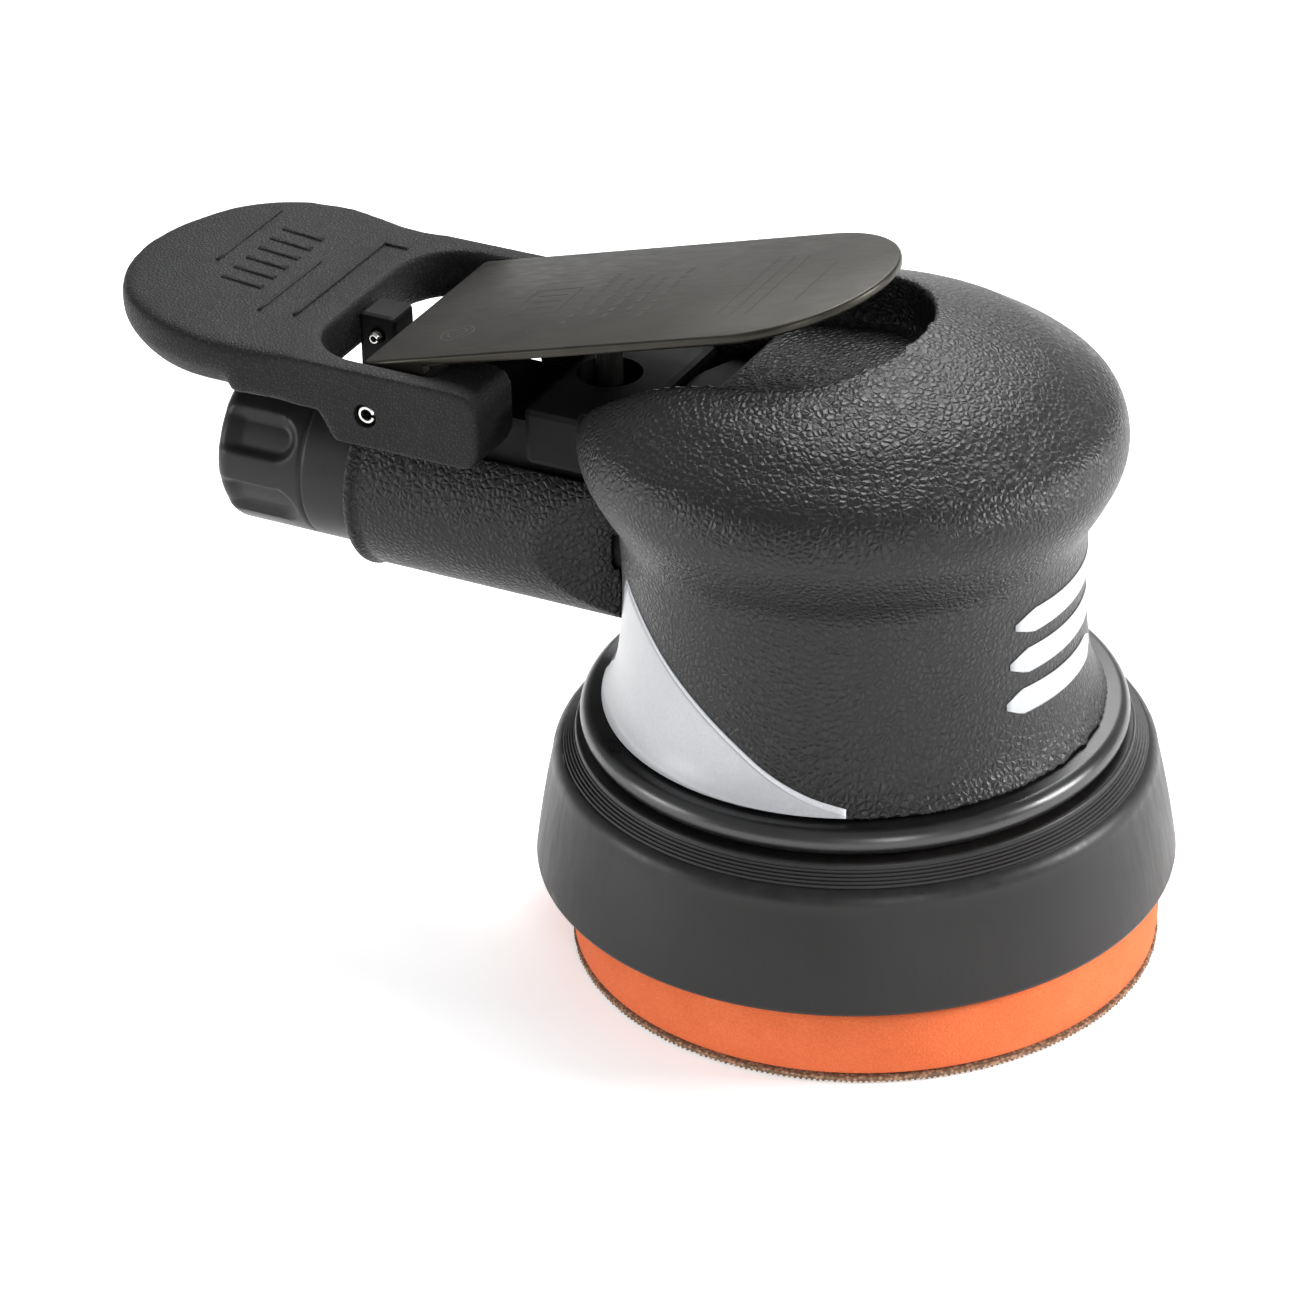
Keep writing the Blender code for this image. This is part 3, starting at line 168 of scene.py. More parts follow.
# ------------------------------------------------------------ materials
class Finish:
    """A Principled material with short calls for the nodes that drive it."""

    def __init__(self, name, color, roughness, metallic=0.0, specular=0.5):
        self.material = bpy.data.materials.new(name)
        self.material.use_nodes = True
        self.tree = self.material.node_tree
        self.shader = self.tree.nodes["Principled BSDF"]
        self.set("Base Color", (*color, 1.0))
        self.set("Roughness", roughness)
        self.set("Metallic", metallic)
        self.set("Specular IOR Level", specular)
        self.where = self.tree.nodes.new("ShaderNodeTexCoord").outputs["Object"]

    def set(self, socket, value):
        self.shader.inputs[socket].default_value = value

    def link(self, output, target):
        self.tree.links.new(output, target)

    def stretched(self, scale):
        """Object coordinates, stretched by a scale along each axis."""
        node = self.tree.nodes.new("ShaderNodeMapping")
        node.inputs["Scale"].default_value = scale
        self.link(self.where, node.inputs["Vector"])
        return node.outputs["Vector"]

    def noise(self, size, detail=4.0, where=None, rough=0.55):
        """Noise whose features are about size metres wide."""
        node = self.tree.nodes.new("ShaderNodeTexNoise")
        node.inputs["Scale"].default_value = 1.0 / size
        node.inputs["Detail"].default_value = detail
        node.inputs["Roughness"].default_value = rough
        self.link(where or self.where, node.inputs["Vector"])
        return node.outputs["Fac"]

    def bent(self, size, amount):
        """Coordinates pushed about by noise, so that a cell pattern loses its regularity."""
        noise = self.tree.nodes.new("ShaderNodeTexNoise")
        noise.inputs["Scale"].default_value = 1.0 / size
        noise.inputs["Detail"].default_value = 2.0
        self.link(self.where, noise.inputs["Vector"])
        centred = self.tree.nodes.new("ShaderNodeVectorMath")
        centred.operation = "SUBTRACT"
        self.link(noise.outputs["Color"], centred.inputs[0])
        centred.inputs[1].default_value = (0.5, 0.5, 0.5)
        scaled = self.tree.nodes.new("ShaderNodeVectorMath")
        scaled.operation = "SCALE"
        self.link(centred.outputs["Vector"], scaled.inputs[0])
        scaled.inputs["Scale"].default_value = amount
        added = self.tree.nodes.new("ShaderNodeVectorMath")
        added.operation = "ADD"
        self.link(self.where, added.inputs[0])
        self.link(scaled.outputs["Vector"], added.inputs[1])
        return added.outputs["Vector"]

    def cells(self, size, where=None, feature="DISTANCE_TO_EDGE"):
        node = self.tree.nodes.new("ShaderNodeTexVoronoi")
        node.feature = feature
        node.inputs["Scale"].default_value = 1.0 / size
        self.link(where or self.where, node.inputs["Vector"])
        return node.outputs["Distance"]

    def spread(self, value, low, high, to_low, to_high):
        node = self.tree.nodes.new("ShaderNodeMapRange")
        self.link(value, node.inputs["Value"])
        for socket, number in zip(("From Min", "From Max", "To Min", "To Max"),
                                  (low, high, to_low, to_high)):
            node.inputs[socket].default_value = number
        return node.outputs["Result"]

    def combine(self, operation, first, second):
        node = self.tree.nodes.new("ShaderNodeMath")
        node.operation = operation
        for socket, value in zip(node.inputs, (first, second)):
            if isinstance(value, (int, float)):
                socket.default_value = value
            else:
                self.link(value, socket)
        return node.outputs["Value"]

    def ramp(self, value, *stops):
        """Colour by value: stops are (position, (r, g, b))."""
        node = self.tree.nodes.new("ShaderNodeValToRGB")
        elements = node.color_ramp.elements
        while len(elements) < len(stops):
            elements.new(0.5)
        for element, (position, color) in zip(elements, stops):
            element.position = position
            element.color = (*color, 1.0)
        self.link(value, node.inputs["Fac"])
        return node.outputs["Color"]

    def drive(self, socket, output):
        self.link(output, self.shader.inputs[socket])

    def bump(self, height, depth, strength=1.0, under=None):
        node = self.tree.nodes.new("ShaderNodeBump")
        node.inputs["Distance"].default_value = depth
        node.inputs["Strength"].default_value = strength
        self.link(height, node.inputs["Height"])
        if under is not None:
            self.link(under, node.inputs["Normal"])
        self.link(node.outputs["Normal"], self.shader.inputs["Normal"])
        return node.outputs["Normal"]


def pebbled(name, color, light, roughness, grain, depth, specular=0.28):
    """Moulded grip rubber: irregular pebbles with creases between them, shinier on top."""
    finish = Finish(name, color, roughness, specular=specular)
    where = finish.bent(grain * 2.2, grain * 0.9)
    pebbles = finish.spread(finish.cells(grain, where), 0.0, 0.34, 0.0, 1.0)
    fine = finish.noise(grain * 0.45, 3.0)
    height = finish.combine("ADD", pebbles, finish.combine("MULTIPLY", fine, 0.5))
    broad = finish.noise(14 * MM, 3.0)
    finish.drive("Base Color", finish.ramp(
        finish.combine("ADD", finish.combine("MULTIPLY", pebbles, 0.45),
                       finish.combine("MULTIPLY", broad, 0.5)), (0.25, color), (0.85, light)))
    finish.drive("Roughness", finish.spread(finish.combine("MULTIPLY", pebbles, broad),
                                            0.1, 0.7, roughness + 0.08, roughness - 0.08))
    finish.bump(height, depth)
    return finish.material


def brushed(name, color, roughness, along=(1.0, 1.0, 1.0), depth=0.004 * MM, metallic=1.0):
    """Machined metal: fine tool lines across the given axis scaling, with small blemishes."""
    finish = Finish(name, color, roughness, metallic)
    lines = finish.noise(0.5 * MM, 5.0, finish.stretched(along))
    blotch = finish.noise(5 * MM, 4.0)
    dark = tuple(part * 0.78 for part in color)
    finish.drive("Base Color", finish.ramp(blotch, (0.3, dark), (0.7, color)))
    finish.drive("Roughness", finish.spread(lines, 0.25, 0.75, roughness - 0.08, roughness + 0.12))
    finish.bump(lines, depth)
    return finish.material


def make_materials():
    made = {}
    made["grip"] = pebbled("grip_pebble", (0.0045, 0.0045, 0.0049), (0.0105, 0.0105, 0.0114),
                           0.36, 1.0 * MM, 0.10 * MM, 0.40)
    made["handle"] = pebbled("handle_pebble", (0.0045, 0.0044, 0.0046), (0.0100, 0.0096, 0.0100),
                             0.42, 1.0 * MM, 0.13 * MM, 0.34)
    made["platform"] = pebbled("platform_grain", (0.006, 0.006, 0.0065), (0.014, 0.014, 0.015),
                               0.52, 0.6 * MM, 0.07 * MM, 0.20)

    skirt = Finish("skirt_rubber", (0.014, 0.013, 0.0125), 0.40, specular=0.38)
    streaks = skirt.noise(1.6 * MM, 4.0, skirt.stretched((1.0, 1.0, 0.12)))
    dust = skirt.noise(0.35 * MM, 2.0)
    broad = skirt.noise(18 * MM, 3.0)
    skirt.drive("Base Color", skirt.ramp(skirt.combine("MULTIPLY", streaks, broad),
                                         (0.1, (0.0065, 0.0058, 0.0054)), (0.45, (0.013, 0.0115, 0.0108))))
    skirt.drive("Roughness", skirt.spread(streaks, 0.3, 0.7, 0.36, 0.48))
    skirt.bump(dust, 0.012 * MM)
    made["skirt"] = skirt.material

    gloss = Finish("bead_gloss", (0.006, 0.006, 0.0066), 0.30, specular=0.85)
    haze = gloss.noise(6 * MM, 5.0)
    gloss.drive("Base Color", gloss.ramp(haze, (0.3, (0.0045, 0.0045, 0.005)),
                                         (0.7, (0.009, 0.009, 0.0095))))
    gloss.drive("Roughness", gloss.spread(haze, 0.3, 0.7, 0.26, 0.36))
    gloss.bump(gloss.noise(0.8 * MM, 3.0), 0.006 * MM)
    made["gloss"] = gloss.material

    moulded = Finish("moulded_black", (0.007, 0.0069, 0.0069), 0.40, specular=0.32)
    cloud = moulded.noise(9 * MM, 4.0)
    moulded.drive("Base Color", moulded.ramp(cloud, (0.3, (0.005, 0.0049, 0.0049)),
                                             (0.7, (0.010, 0.0097, 0.0097))))
    moulded.drive("Roughness", moulded.spread(cloud, 0.3, 0.7, 0.38, 0.50))
    moulded.bump(moulded.noise(0.4 * MM, 2.0), 0.014 * MM)
    made["moulded"] = moulded.material

    foam = Finish("pad_foam_orange", (0.74, 0.15, 0.05), 0.85, specular=0.2)
    pores = foam.cells(0.42 * MM, feature="F1")
    speck = foam.noise(0.28 * MM, 3.0)
    tone = foam.combine("ADD", foam.combine("MULTIPLY", speck, 0.75),
                        foam.combine("MULTIPLY", foam.noise(7 * MM, 3.0), 0.35))
    foam.drive("Base Color", foam.ramp(tone, (0.25, (0.60, 0.115, 0.034)), (0.55, (0.74, 0.155, 0.052)),
                                       (0.85, (0.82, 0.21, 0.085))))
    foam.drive("Roughness", foam.spread(speck, 0.3, 0.7, 0.76, 0.90))
    foam.bump(foam.combine("SUBTRACT", speck, pores), 0.06 * MM)
    made["foam"] = foam.material

    # A darker black than the moulded parts, for the housing that sits under the lever: painted shade. The
    # noise only varies it at random.
    recess = Finish("housing_painted_shade", (0.004, 0.0039, 0.0039), 0.62, specular=0.15)
    film = recess.noise(7 * MM, 4.0)
    recess.drive("Base Color", recess.ramp(film, (0.3, (0.003, 0.0029, 0.0029)),
                                           (0.7, (0.006, 0.0058, 0.0058))))
    recess.drive("Roughness", recess.spread(film, 0.3, 0.7, 0.56, 0.70))
    recess.bump(recess.noise(0.4 * MM, 2.0), 0.014 * MM)
    made["recess"] = recess.material

    hook = Finish("hook_layer", (0.16, 0.14, 0.10), 0.8)
    weave = hook.cells(0.6 * MM, feature="F1")
    hook.drive("Base Color", hook.ramp(weave, (0.1, (0.55, 0.33, 0.20)), (0.6, (0.17, 0.10, 0.06))))
    hook.drive("Roughness", hook.spread(weave, 0.0, 0.7, 0.7, 0.95))
    hook.bump(weave, 0.15 * MM, strength=-1.0)
    made["hook"] = hook.material

    lever = Finish("lever_bronze", (0.038, 0.035, 0.029), 0.34, 0.85)
    streak = lever.noise(1.2 * MM, 5.0, lever.stretched((0.16, 1.0, 1.0)))
    cloud = lever.noise(11 * MM, 4.0)
    lever.drive("Base Color", lever.ramp(lever.combine("ADD", lever.combine("MULTIPLY", cloud, 0.7),
                                                       lever.combine("MULTIPLY", streak, 0.3)),
                                         (0.3, (0.029, 0.0265, 0.0215)), (0.7, (0.050, 0.0465, 0.0385))))
    lever.drive("Roughness", lever.spread(streak, 0.3, 0.7, 0.33, 0.46))
    lever.bump(lever.noise(0.3 * MM, 3.0), 0.006 * MM)
    made["lever"] = lever.material

    etched = Finish("lever_etching", (0.030, 0.028, 0.024), 0.55, 0.5)
    wear = etched.noise(0.6 * MM, 4.0)
    etched.drive("Base Color", etched.ramp(wear, (0.35, (0.022, 0.020, 0.017)), (0.7, (0.050, 0.046, 0.038))))
    etched.drive("Roughness", etched.spread(wear, 0.3, 0.7, 0.48, 0.66))
    etched.bump(wear, 0.004 * MM)
    made["etched"] = etched.material

    decal = Finish("decal_grey", (0.60, 0.61, 0.62), 0.34)
    print_ = decal.noise(0.5 * MM, 3.0)
    broad = decal.noise(12 * MM, 3.0)
    decal.drive("Base Color", decal.ramp(decal.combine("MULTIPLY", print_, broad),
                                         (0.1, (0.44, 0.45, 0.46)), (0.45, (0.52, 0.53, 0.55))))
    decal.drive("Roughness", decal.spread(broad, 0.3, 0.7, 0.30, 0.42))
    decal.bump(decal.noise(1.0 * MM, 3.0), 0.02 * MM)
    made["decal"] = decal.material

    # Lighter grey than the decal face: a painted highlight along the crescent decal's raised edge.
    edge = Finish("decal_edge_highlight", (0.75, 0.76, 0.78), 0.4)
    shine = edge.noise(0.4 * MM, 3.0)
    edge.drive("Base Color", edge.ramp(shine, (0.3, (0.58, 0.59, 0.61)), (0.7, (0.70, 0.71, 0.73))))
    edge.drive("Roughness", edge.spread(shine, 0.3, 0.7, 0.34, 0.5))
    edge.bump(shine, 0.01 * MM)
    made["decal_edge_highlight"] = edge.material

    made["steel"] = brushed("bright_steel", (0.62, 0.62, 0.60), 0.26, (1.0, 1.0, 6.0))
    made["pin"] = brushed("pin_steel", (0.70, 0.69, 0.66), 0.22, (1.0, 5.0, 1.0))
    # Only the valve stem uses this near-black steel: painted shade for the stem standing in shadow under the
    # lever.
    made["dark_steel"] = brushed("dark_steel", (0.035, 0.034, 0.032), 0.42, (1.0, 1.0, 5.0), metallic=0.7)
    made["brass"] = brushed("brass", (0.62, 0.44, 0.18), 0.30, (1.0, 1.0, 6.0))
    made["felt"] = pebbled("felt_grey", (0.16, 0.155, 0.145), (0.34, 0.33, 0.31), 0.90, 0.5 * MM, 0.12 * MM)
    made["fibre"] = pebbled("fibre_board", (0.12, 0.095, 0.05), (0.24, 0.20, 0.12), 0.62, 0.7 * MM, 0.03 * MM)
    made["vane"] = pebbled("vane_laminate", (0.10, 0.06, 0.028), (0.20, 0.13, 0.07),
                           0.55, 0.5 * MM, 0.02 * MM)
    made["rubber"] = pebbled("seal_rubber", (0.010, 0.010, 0.010), (0.022, 0.022, 0.022),
                             0.6, 0.6 * MM, 0.02 * MM)
    return made


camera()
studio()
LOOK = make_materials()
BY_SLOT = {"grip": "grip", "housing": "moulded", "rubber": "rubber", "gloss_black": "gloss",
           "lever_steel": "lever", "steel": "steel", "brass": "brass", "felt": "felt", "foam": "foam",
           "hook": "hook", "fibre": "fibre", "vane": "vane"}
for part in frame["record"]["subparts"]:
    carried = frame["nodes"][part["node"]]
    for index in range(len(carried.material_slots)):
        carried.material_slots[index].material = LOOK[BY_SLOT[part["material_slot"]]]
# The valve stem is made dark: painted shade, as it stands in shadow under the lever.
frame["nodes"]["valve_stem"].material_slots[0].material = LOOK["dark_steel"]
# The motor housing gets the darker recess black: painted shade under the lever.
frame["nodes"]["motor_housing"].material_slots[0].material = LOOK["recess"]


# ------------------------------------------------------------ mesh helpers
def to_object(name, form, look, smooth=True):
    mesh = bpy.data.meshes.new(name)
    bmesh.ops.recalc_face_normals(form, faces=form.faces)
    form.to_mesh(mesh)
    form.free()
    obj = bpy.data.objects.new(name, mesh)
    bpy.context.scene.collection.objects.link(obj)
    if look:
        mesh.materials.append(LOOK[look])
    if smooth:
        mesh.shade_smooth()
    return obj


def finish_piece(obj, body, nodes=()):
    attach(obj, body)
    if nodes:
        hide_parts(*nodes)
    return obj


def rings_mesh(rows, closed_rows=True, cap=False):
    """A mesh through rows of points; every row has the same number of points, joined round."""
    form = bmesh.new()
    made = [[form.verts.new(point) for point in row] for row in rows]
    pairs = list(zip(made, made[1:]))
    if closed_rows:
        pairs.append((made[-1], made[0]))
    for low, high in pairs:
        count = len(low)
        for index in range(count):
            after = (index + 1) % count
            form.faces.new((low[index], low[after], high[after], high[index]))
    if cap:
        form.faces.new(made[0])
        form.faces.new(list(reversed(made[-1])))
    return form


def lathe(profile, steps, centre=(0.0, 0.0)):
    """Rows for a closed (r, z) profile turned about a vertical axis."""
    rows = []
    for radius, height in profile:
        row = []
        for index in range(steps):
            angle = math.tau * index / steps
            row.append((centre[0] + radius * math.cos(angle), centre[1] + radius * math.sin(angle), height))
        rows.append(row)
    return rows


def curve_through(points, steps):
    """Catmull-Rom points through the given ones, steps to each span."""
    points = [Vector(point) for point in points]
    ends = [points[0] * 2 - points[1]] + points + [points[-1] * 2 - points[-2]]
    result = []
    for index in range(1, len(ends) - 2):
        p0, p1, p2, p3 = ends[index - 1:index + 3]
        for step in range(steps):
            t = step / steps
            result.append(0.5 * ((2 * p1) + (p2 - p0) * t + (2 * p0 - 5 * p1 + 4 * p2 - p3) * t * t
                                 + (3 * p1 - p0 - 3 * p2 + p3) * t ** 3))
    result.append(points[-1])
    return result


def arc(centre, radius, start, end, steps):
    points = []
    for index in range(steps + 1):
        angle = math.radians(start + (end - start) * index / steps)
        points.append((centre[0] + radius * math.cos(angle), centre[1] + radius * math.sin(angle)))
    return points


def prism(outline, low, high):
    """A flat outline (x, y) raised from low to high."""
    form = bmesh.new()
    bottom = [form.verts.new((x, y, low)) for x, y in outline]
    top = [form.verts.new((x, y, high)) for x, y in outline]
    form.faces.new(list(reversed(bottom)))
    form.faces.new(top)
    count = len(outline)
    for index in range(count):
        after = (index + 1) % count
        form.faces.new((bottom[index], bottom[after], top[after], top[index]))
    return form


def block(low, high):
    return prism([(low[0], low[1]), (high[0], low[1]), (high[0], high[1]), (low[0], high[1])],
                 low[2], high[2])


def rod(radius, low, high, steps=48, matrix=None):
    form = bmesh.new()
    bmesh.ops.create_cone(form, cap_ends=True, segments=steps, radius1=radius, radius2=radius,
                          depth=high - low, matrix=Matrix.Translation((0, 0, (low + high) / 2)))
    if matrix is not None:
        form.transform(matrix)
    return form


def carve(obj, form, operation="DIFFERENCE"):
    """Apply one boolean to obj now, and remove its cutter."""
    cutter = to_object(obj.name + "_cutter", form, None, smooth=False)
    modifier = obj.modifiers.new("carve", "BOOLEAN")
    modifier.operation = operation
    modifier.solver = "EXACT"
    modifier.object = cutter
    apply_modifiers(obj)
    bpy.data.objects.remove(cutter, do_unlink=True)


def apply_modifiers(obj):
    bpy.context.view_layer.update()
    depsgraph = bpy.context.evaluated_depsgraph_get()
    mesh = bpy.data.meshes.new_from_object(obj.evaluated_get(depsgraph))
    mesh.name = obj.name
    obj.modifiers.clear()
    old = obj.data
    obj.data = mesh
    bpy.data.meshes.remove(old)


def soften(obj, voxel, rounds):
    """Remesh evenly and relax, which rounds every edge as a moulding's are."""
    remesh = obj.modifiers.new("remesh", "REMESH")
    remesh.mode = "VOXEL"
    remesh.voxel_size = voxel
    remesh.use_smooth_shade = True
    relax = obj.modifiers.new("relax", "SMOOTH")
    relax.factor = 0.5
    relax.iterations = rounds
    apply_modifiers(obj)
    obj.data.shade_smooth()


def relax_where(obj, share, rounds):
    """Relax the surface further where share(point) is above 0, in full where it is 1 or more."""
    group = obj.vertex_groups.new(name="relaxed")
    for vertex in obj.data.vertices:
        weight = share(vertex.co)
        if weight > 0.0:
            group.add([vertex.index], min(weight, 1.0), "REPLACE")
    relax = obj.modifiers.new("relax", "SMOOTH")
    relax.factor = 0.5
    relax.iterations = rounds
    relax.vertex_group = group.name
    apply_modifiers(obj)
    obj.vertex_groups.clear()
    obj.data.shade_smooth()


ALONG_HANDLE = Matrix.Translation((0, 0, HANDLE_Z)) @ Matrix.Rotation(-math.pi / 2, 4, "Y")
ACROSS = Matrix.Rotation(math.pi / 2, 4, "X")


# ------------------------------------------------------------ palm grip
GRIP_SHAPE = [(0.00, FOOT_RADIUS - 0.1 * MM), (0.035, FOOT_RADIUS - 1.5 * MM),
              (0.08, WAIST_RADIUS + 1.3 * MM), (0.16, WAIST_RADIUS + 0.5 * MM), (0.30, WAIST_RADIUS),
              (0.44, WAIST_RADIUS + 0.3 * MM), (0.50, WAIST_RADIUS + 1.0 * MM),
              (0.57, LOBE_RADIUS - 2.5 * MM), (0.64, LOBE_RADIUS - 0.4 * MM), (0.70, LOBE_RADIUS),
              (0.76, LOBE_RADIUS - 1.1 * MM), (0.80, LOBE_RADIUS - 3.4 * MM),
              (0.84, LOBE_RADIUS - 7.0 * MM), (0.89, LOBE_RADIUS - 12.2 * MM),
              (0.94, LOBE_RADIUS - 20.8 * MM), (0.98, LOBE_RADIUS - 31.0 * MM), (1.0, 0.0)]


def grip_outline():
    points = [(radius, GRIP_FOOT + share * GRIP_HEIGHT) for share, radius in GRIP_SHAPE]
    return [(max(p.x, 0.0), p.y) for p in curve_through([(*point, 0.0) for point in points], 6)]


GRIP_OUTLINE = grip_outline()


def grip_radius(height):
    """Radius of the grip's outside at a height between its foot and its lobe."""
    for (r0, z0), (r1, z1) in zip(GRIP_OUTLINE, GRIP_OUTLINE[1:]):
        if z0 <= height <= z1:
            return r0 + (r1 - r0) * (height - z0) / max(z1 - z0, 1e-9)
    return GRIP_OUTLINE[0][0]


def trough_outline():
    centre = -6.0 * MM
    front = 18.0 * MM
    rear = -60.0 * MM
    outline = [(rear, -TROUGH_HALF)]
    for index in range(0, 33):
        angle = math.radians(-90 + 180 * index / 32)
        outline.append((centre + front * math.cos(angle), TROUGH_HALF * math.sin(angle)))
    outline.append((rear, TROUGH_HALF))
    return outline


def make_grip():
    profile = GRIP_OUTLINE[:-1] + [(0.02 * MM, GRIP_OUTLINE[-1][1])]
    profile += [(0.02 * MM, CAVITY_TOP), (CAVITY_RADIUS - MM, CAVITY_TOP),
                (CAVITY_RADIUS, CAVITY_TOP - MM), (CAVITY_RADIUS, GRIP_FOOT)]
    form = rings_mesh(lathe(profile, 128))
    grip = to_object("grip_shell", form, "grip")
    trough = prism(trough_outline(), 0.0, 40 * MM)
    trough.transform(Matrix.Translation((0, 0, TROUGH_FLOOR))
                     @ Matrix.Rotation(-math.atan(TROUGH_SLOPE), 4, "Y"))
    carve(grip, trough)
    carve(grip, block((-60 * MM, -15.7 * MM, 74.2 * MM), (-20 * MM, 15.7 * MM, 0.12)))
    carve(grip, block((-60 * MM, -9.3 * MM, HANDLE_Z), (-20 * MM, 9.3 * MM, 0.1)))
    carve(grip, rod(CORE_RADIUS + 0.3 * MM, 20 * MM, 60 * MM, matrix=ALONG_HANDLE))
    soften(grip, 0.62 * MM, 7)
    finish_piece(grip, "tool", ["grip_cover"])


# ------------------------------------------------------------ handle
def make_handle():
    rear = -SLEEVE_LOW.x
    inner = CORE_RADIUS + 0.3 * MM
    lip = 0.5 * MM
    profile = [(inner, 30 * MM), (HANDLE_RADIUS, 30 * MM), (HANDLE_RADIUS, rear - 2.6 * MM),
               (HANDLE_RADIUS - 0.35 * MM, rear - 2.2 * MM), (HANDLE_RADIUS - 0.35 * MM, rear - 1.7 * MM),
               (HANDLE_RADIUS + lip, rear - 1.2 * MM), (HANDLE_RADIUS + lip, rear - 0.3 * MM),
               (HANDLE_RADIUS + lip - 0.3 * MM, rear), (inner, rear)]
    form = rings_mesh(lathe(profile, 96))
    form.transform(ALONG_HANDLE)
    handle = to_object("handle_shell", form, "handle")
    outline = [(radius + 0.3 * MM, height) for radius, height in GRIP_OUTLINE[:-1]]
    head = [(0.02 * MM, GRIP_FOOT)] + outline + [(0.02 * MM, GRIP_OUTLINE[-1][1])]
    carve(handle, rings_mesh(lathe(head, 96)))
    for side in (-1, 1):
        flat = block((0, 0, 0), (30 * MM, 20 * MM, 50 * MM))
        turn = math.radians(-21) if side > 0 else math.radians(-69)
        flat.transform(Matrix.Translation((-45.5 * MM, side * HANDLE_RADIUS, 35 * MM))
                       @ Matrix.Rotation(turn, 4, "Z"))
        carve(handle, flat)
    carve(handle, block((-0.12, -10.3 * MM, HANDLE_Z), (0, 10.3 * MM, 0.1)))
    carve(handle, block((-46.8 * MM, -15.7 * MM, 74.2 * MM), (0, 15.7 * MM, 0.1)))
    soften(handle, 0.45 * MM, 3)
    finish_piece(handle, "tool", ["handle_sleeve"])


# ------------------------------------------------------------ exhaust muffler cap
def make_cap():
    """The cap's own skin: round at the front, seven shallow flutes with rounded ends behind."""
    front, rear = -CAP_HIGH.x, -CAP_LOW.x
    radius = (CAP_HIGH.z - CAP_LOW.z) / 2
    flute_front = rear - 14.0 * MM
    steps = 192
    rim = 2.4 * MM
    mouth = 9.6 * MM
    flute_pitch = math.tau / 7
    flute_turn = math.radians(-8.8)
    core_end = 0.3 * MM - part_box("motor_housing")[0].x

    def depth(angle, along):
        """How deep the flutes cut at an angle round and a distance along the cap."""
        share = (angle - flute_turn) / flute_pitch
        across = abs(share - round(share)) * flute_pitch * radius
        reach = 3.6 * MM
        ahead = max(0.0, (flute_front + reach) - along)
        distance = math.hypot(across, ahead)
        level = max(0.0, 1.0 - (distance / reach) ** 2)
        fade = min(1.0, max(0.0, (rear - along) / (4.5 * MM)))
        return 1.25 * MM * min(1.0, level * 1.7) * (0.12 + 0.88 * fade * fade * (3 - 2 * fade))

    stations = [(front, -0.35 * MM), (front + 0.3 * MM, 0.0)]
    stations += [(front + share * (rear - rim - front - 0.3 * MM) + 0.3 * MM, 0.0)
                 for share in [index / 56 for index in range(1, 57)]]
    stations += [(rear - rim + rim * math.sin(a), -(rim - rim * math.cos(a)))
                 for a in [math.radians(9 * index) for index in range(1, 11)]]
    groove = front + 8.6 * MM
    rows = []
    for along, inset in stations:
        ringed = -0.25 * MM if abs(along - groove) < 0.3 * MM else 0.0
        row = []
        for index in range(steps):
            angle = math.tau * index / steps
            r = radius + inset + ringed - depth(angle, along)
            row.append((r * math.cos(angle), r * math.sin(angle), along))
        rows.append(row)
    for r, along in ((mouth + 0.3 * MM, rear), (mouth, rear - 0.3 * MM), (mouth, rear - 2.2 * MM),
                     (10.3 * MM, rear - 2.2 * MM), (10.3 * MM, core_end),
                     (CORE_RADIUS + 0.3 * MM, core_end), (CORE_RADIUS + 0.3 * MM, front)):
        rows.append([(r * math.cos(math.tau * i / steps), r * math.sin(math.tau * i / steps), along)
                     for i in range(steps)])
    form = rings_mesh(rows)
    form.transform(ALONG_HANDLE)
    cap = to_object("muffler_shell", form, "moulded", smooth=False)
    cap.data.shade_smooth()
    cap.data.set_sharp_from_angle(angle=math.radians(40))
    finish_piece(cap, "muffler", ["muffler_cap"])


# ------------------------------------------------------------ skirt, bead and pad
def make_skirt():
    rim_radius = 48.3 * MM
    top_radius = 45.5 * MM
    shoulder = 3.0 * MM
    low, high = SKIRT_LOW.z, SKIRT_HIGH.z
    shoulder_z = high - shoulder - 2.6 * MM
    collar = 32.6 * MM
    bead = 41.1 * MM
    outside = [(collar, high), (bead + 0.2 * MM, high)]
    outside += arc((bead + 0.3 * MM, high - 0.5 * MM), 0.5 * MM, 80, 0, 4)
    slope_start = Vector((bead + 0.9 * MM, high - 0.9 * MM))
    crest = arc((top_radius - shoulder, shoulder_z), shoulder, 62, 0, 10)
    slope_end = Vector(crest[0])
    ridges = 5
    for index in range(ridges * 4 + 1):
        share = index / (ridges * 4)
        point = slope_start.lerp(slope_end, share)
        lift = 0.11 * MM * math.sin(math.tau * ridges * share)
        outside.append((point.x + lift * 0.5, point.y + lift))
    outside += crest
    side_top = Vector(crest[-1])
    side_low = Vector((rim_radius, low + 0.8 * MM))
    for index in range(1, 13):
        point = side_top.lerp(side_low, index / 12)
        bulge = 0.18 * MM * math.sin(math.pi * index / 12)
        outside.append((point.x + bulge, point.y))
    outside += arc((rim_radius - 0.8 * MM, low + 0.8 * MM), 0.8 * MM, 0, -180, 8)
    outside += [(top_radius - 1.7 * MM, shoulder_z), (top_radius - shoulder, high - 3.6 * MM),
                (collar, high - 3.4 * MM)]
    form = rings_mesh(lathe(outside, 192))
    skirt = to_object("skirt_shell", form, "skirt")
    skirt.data.set_sharp_from_angle(angle=math.radians(50))
    finish_piece(skirt, "tool", ["skirt"])


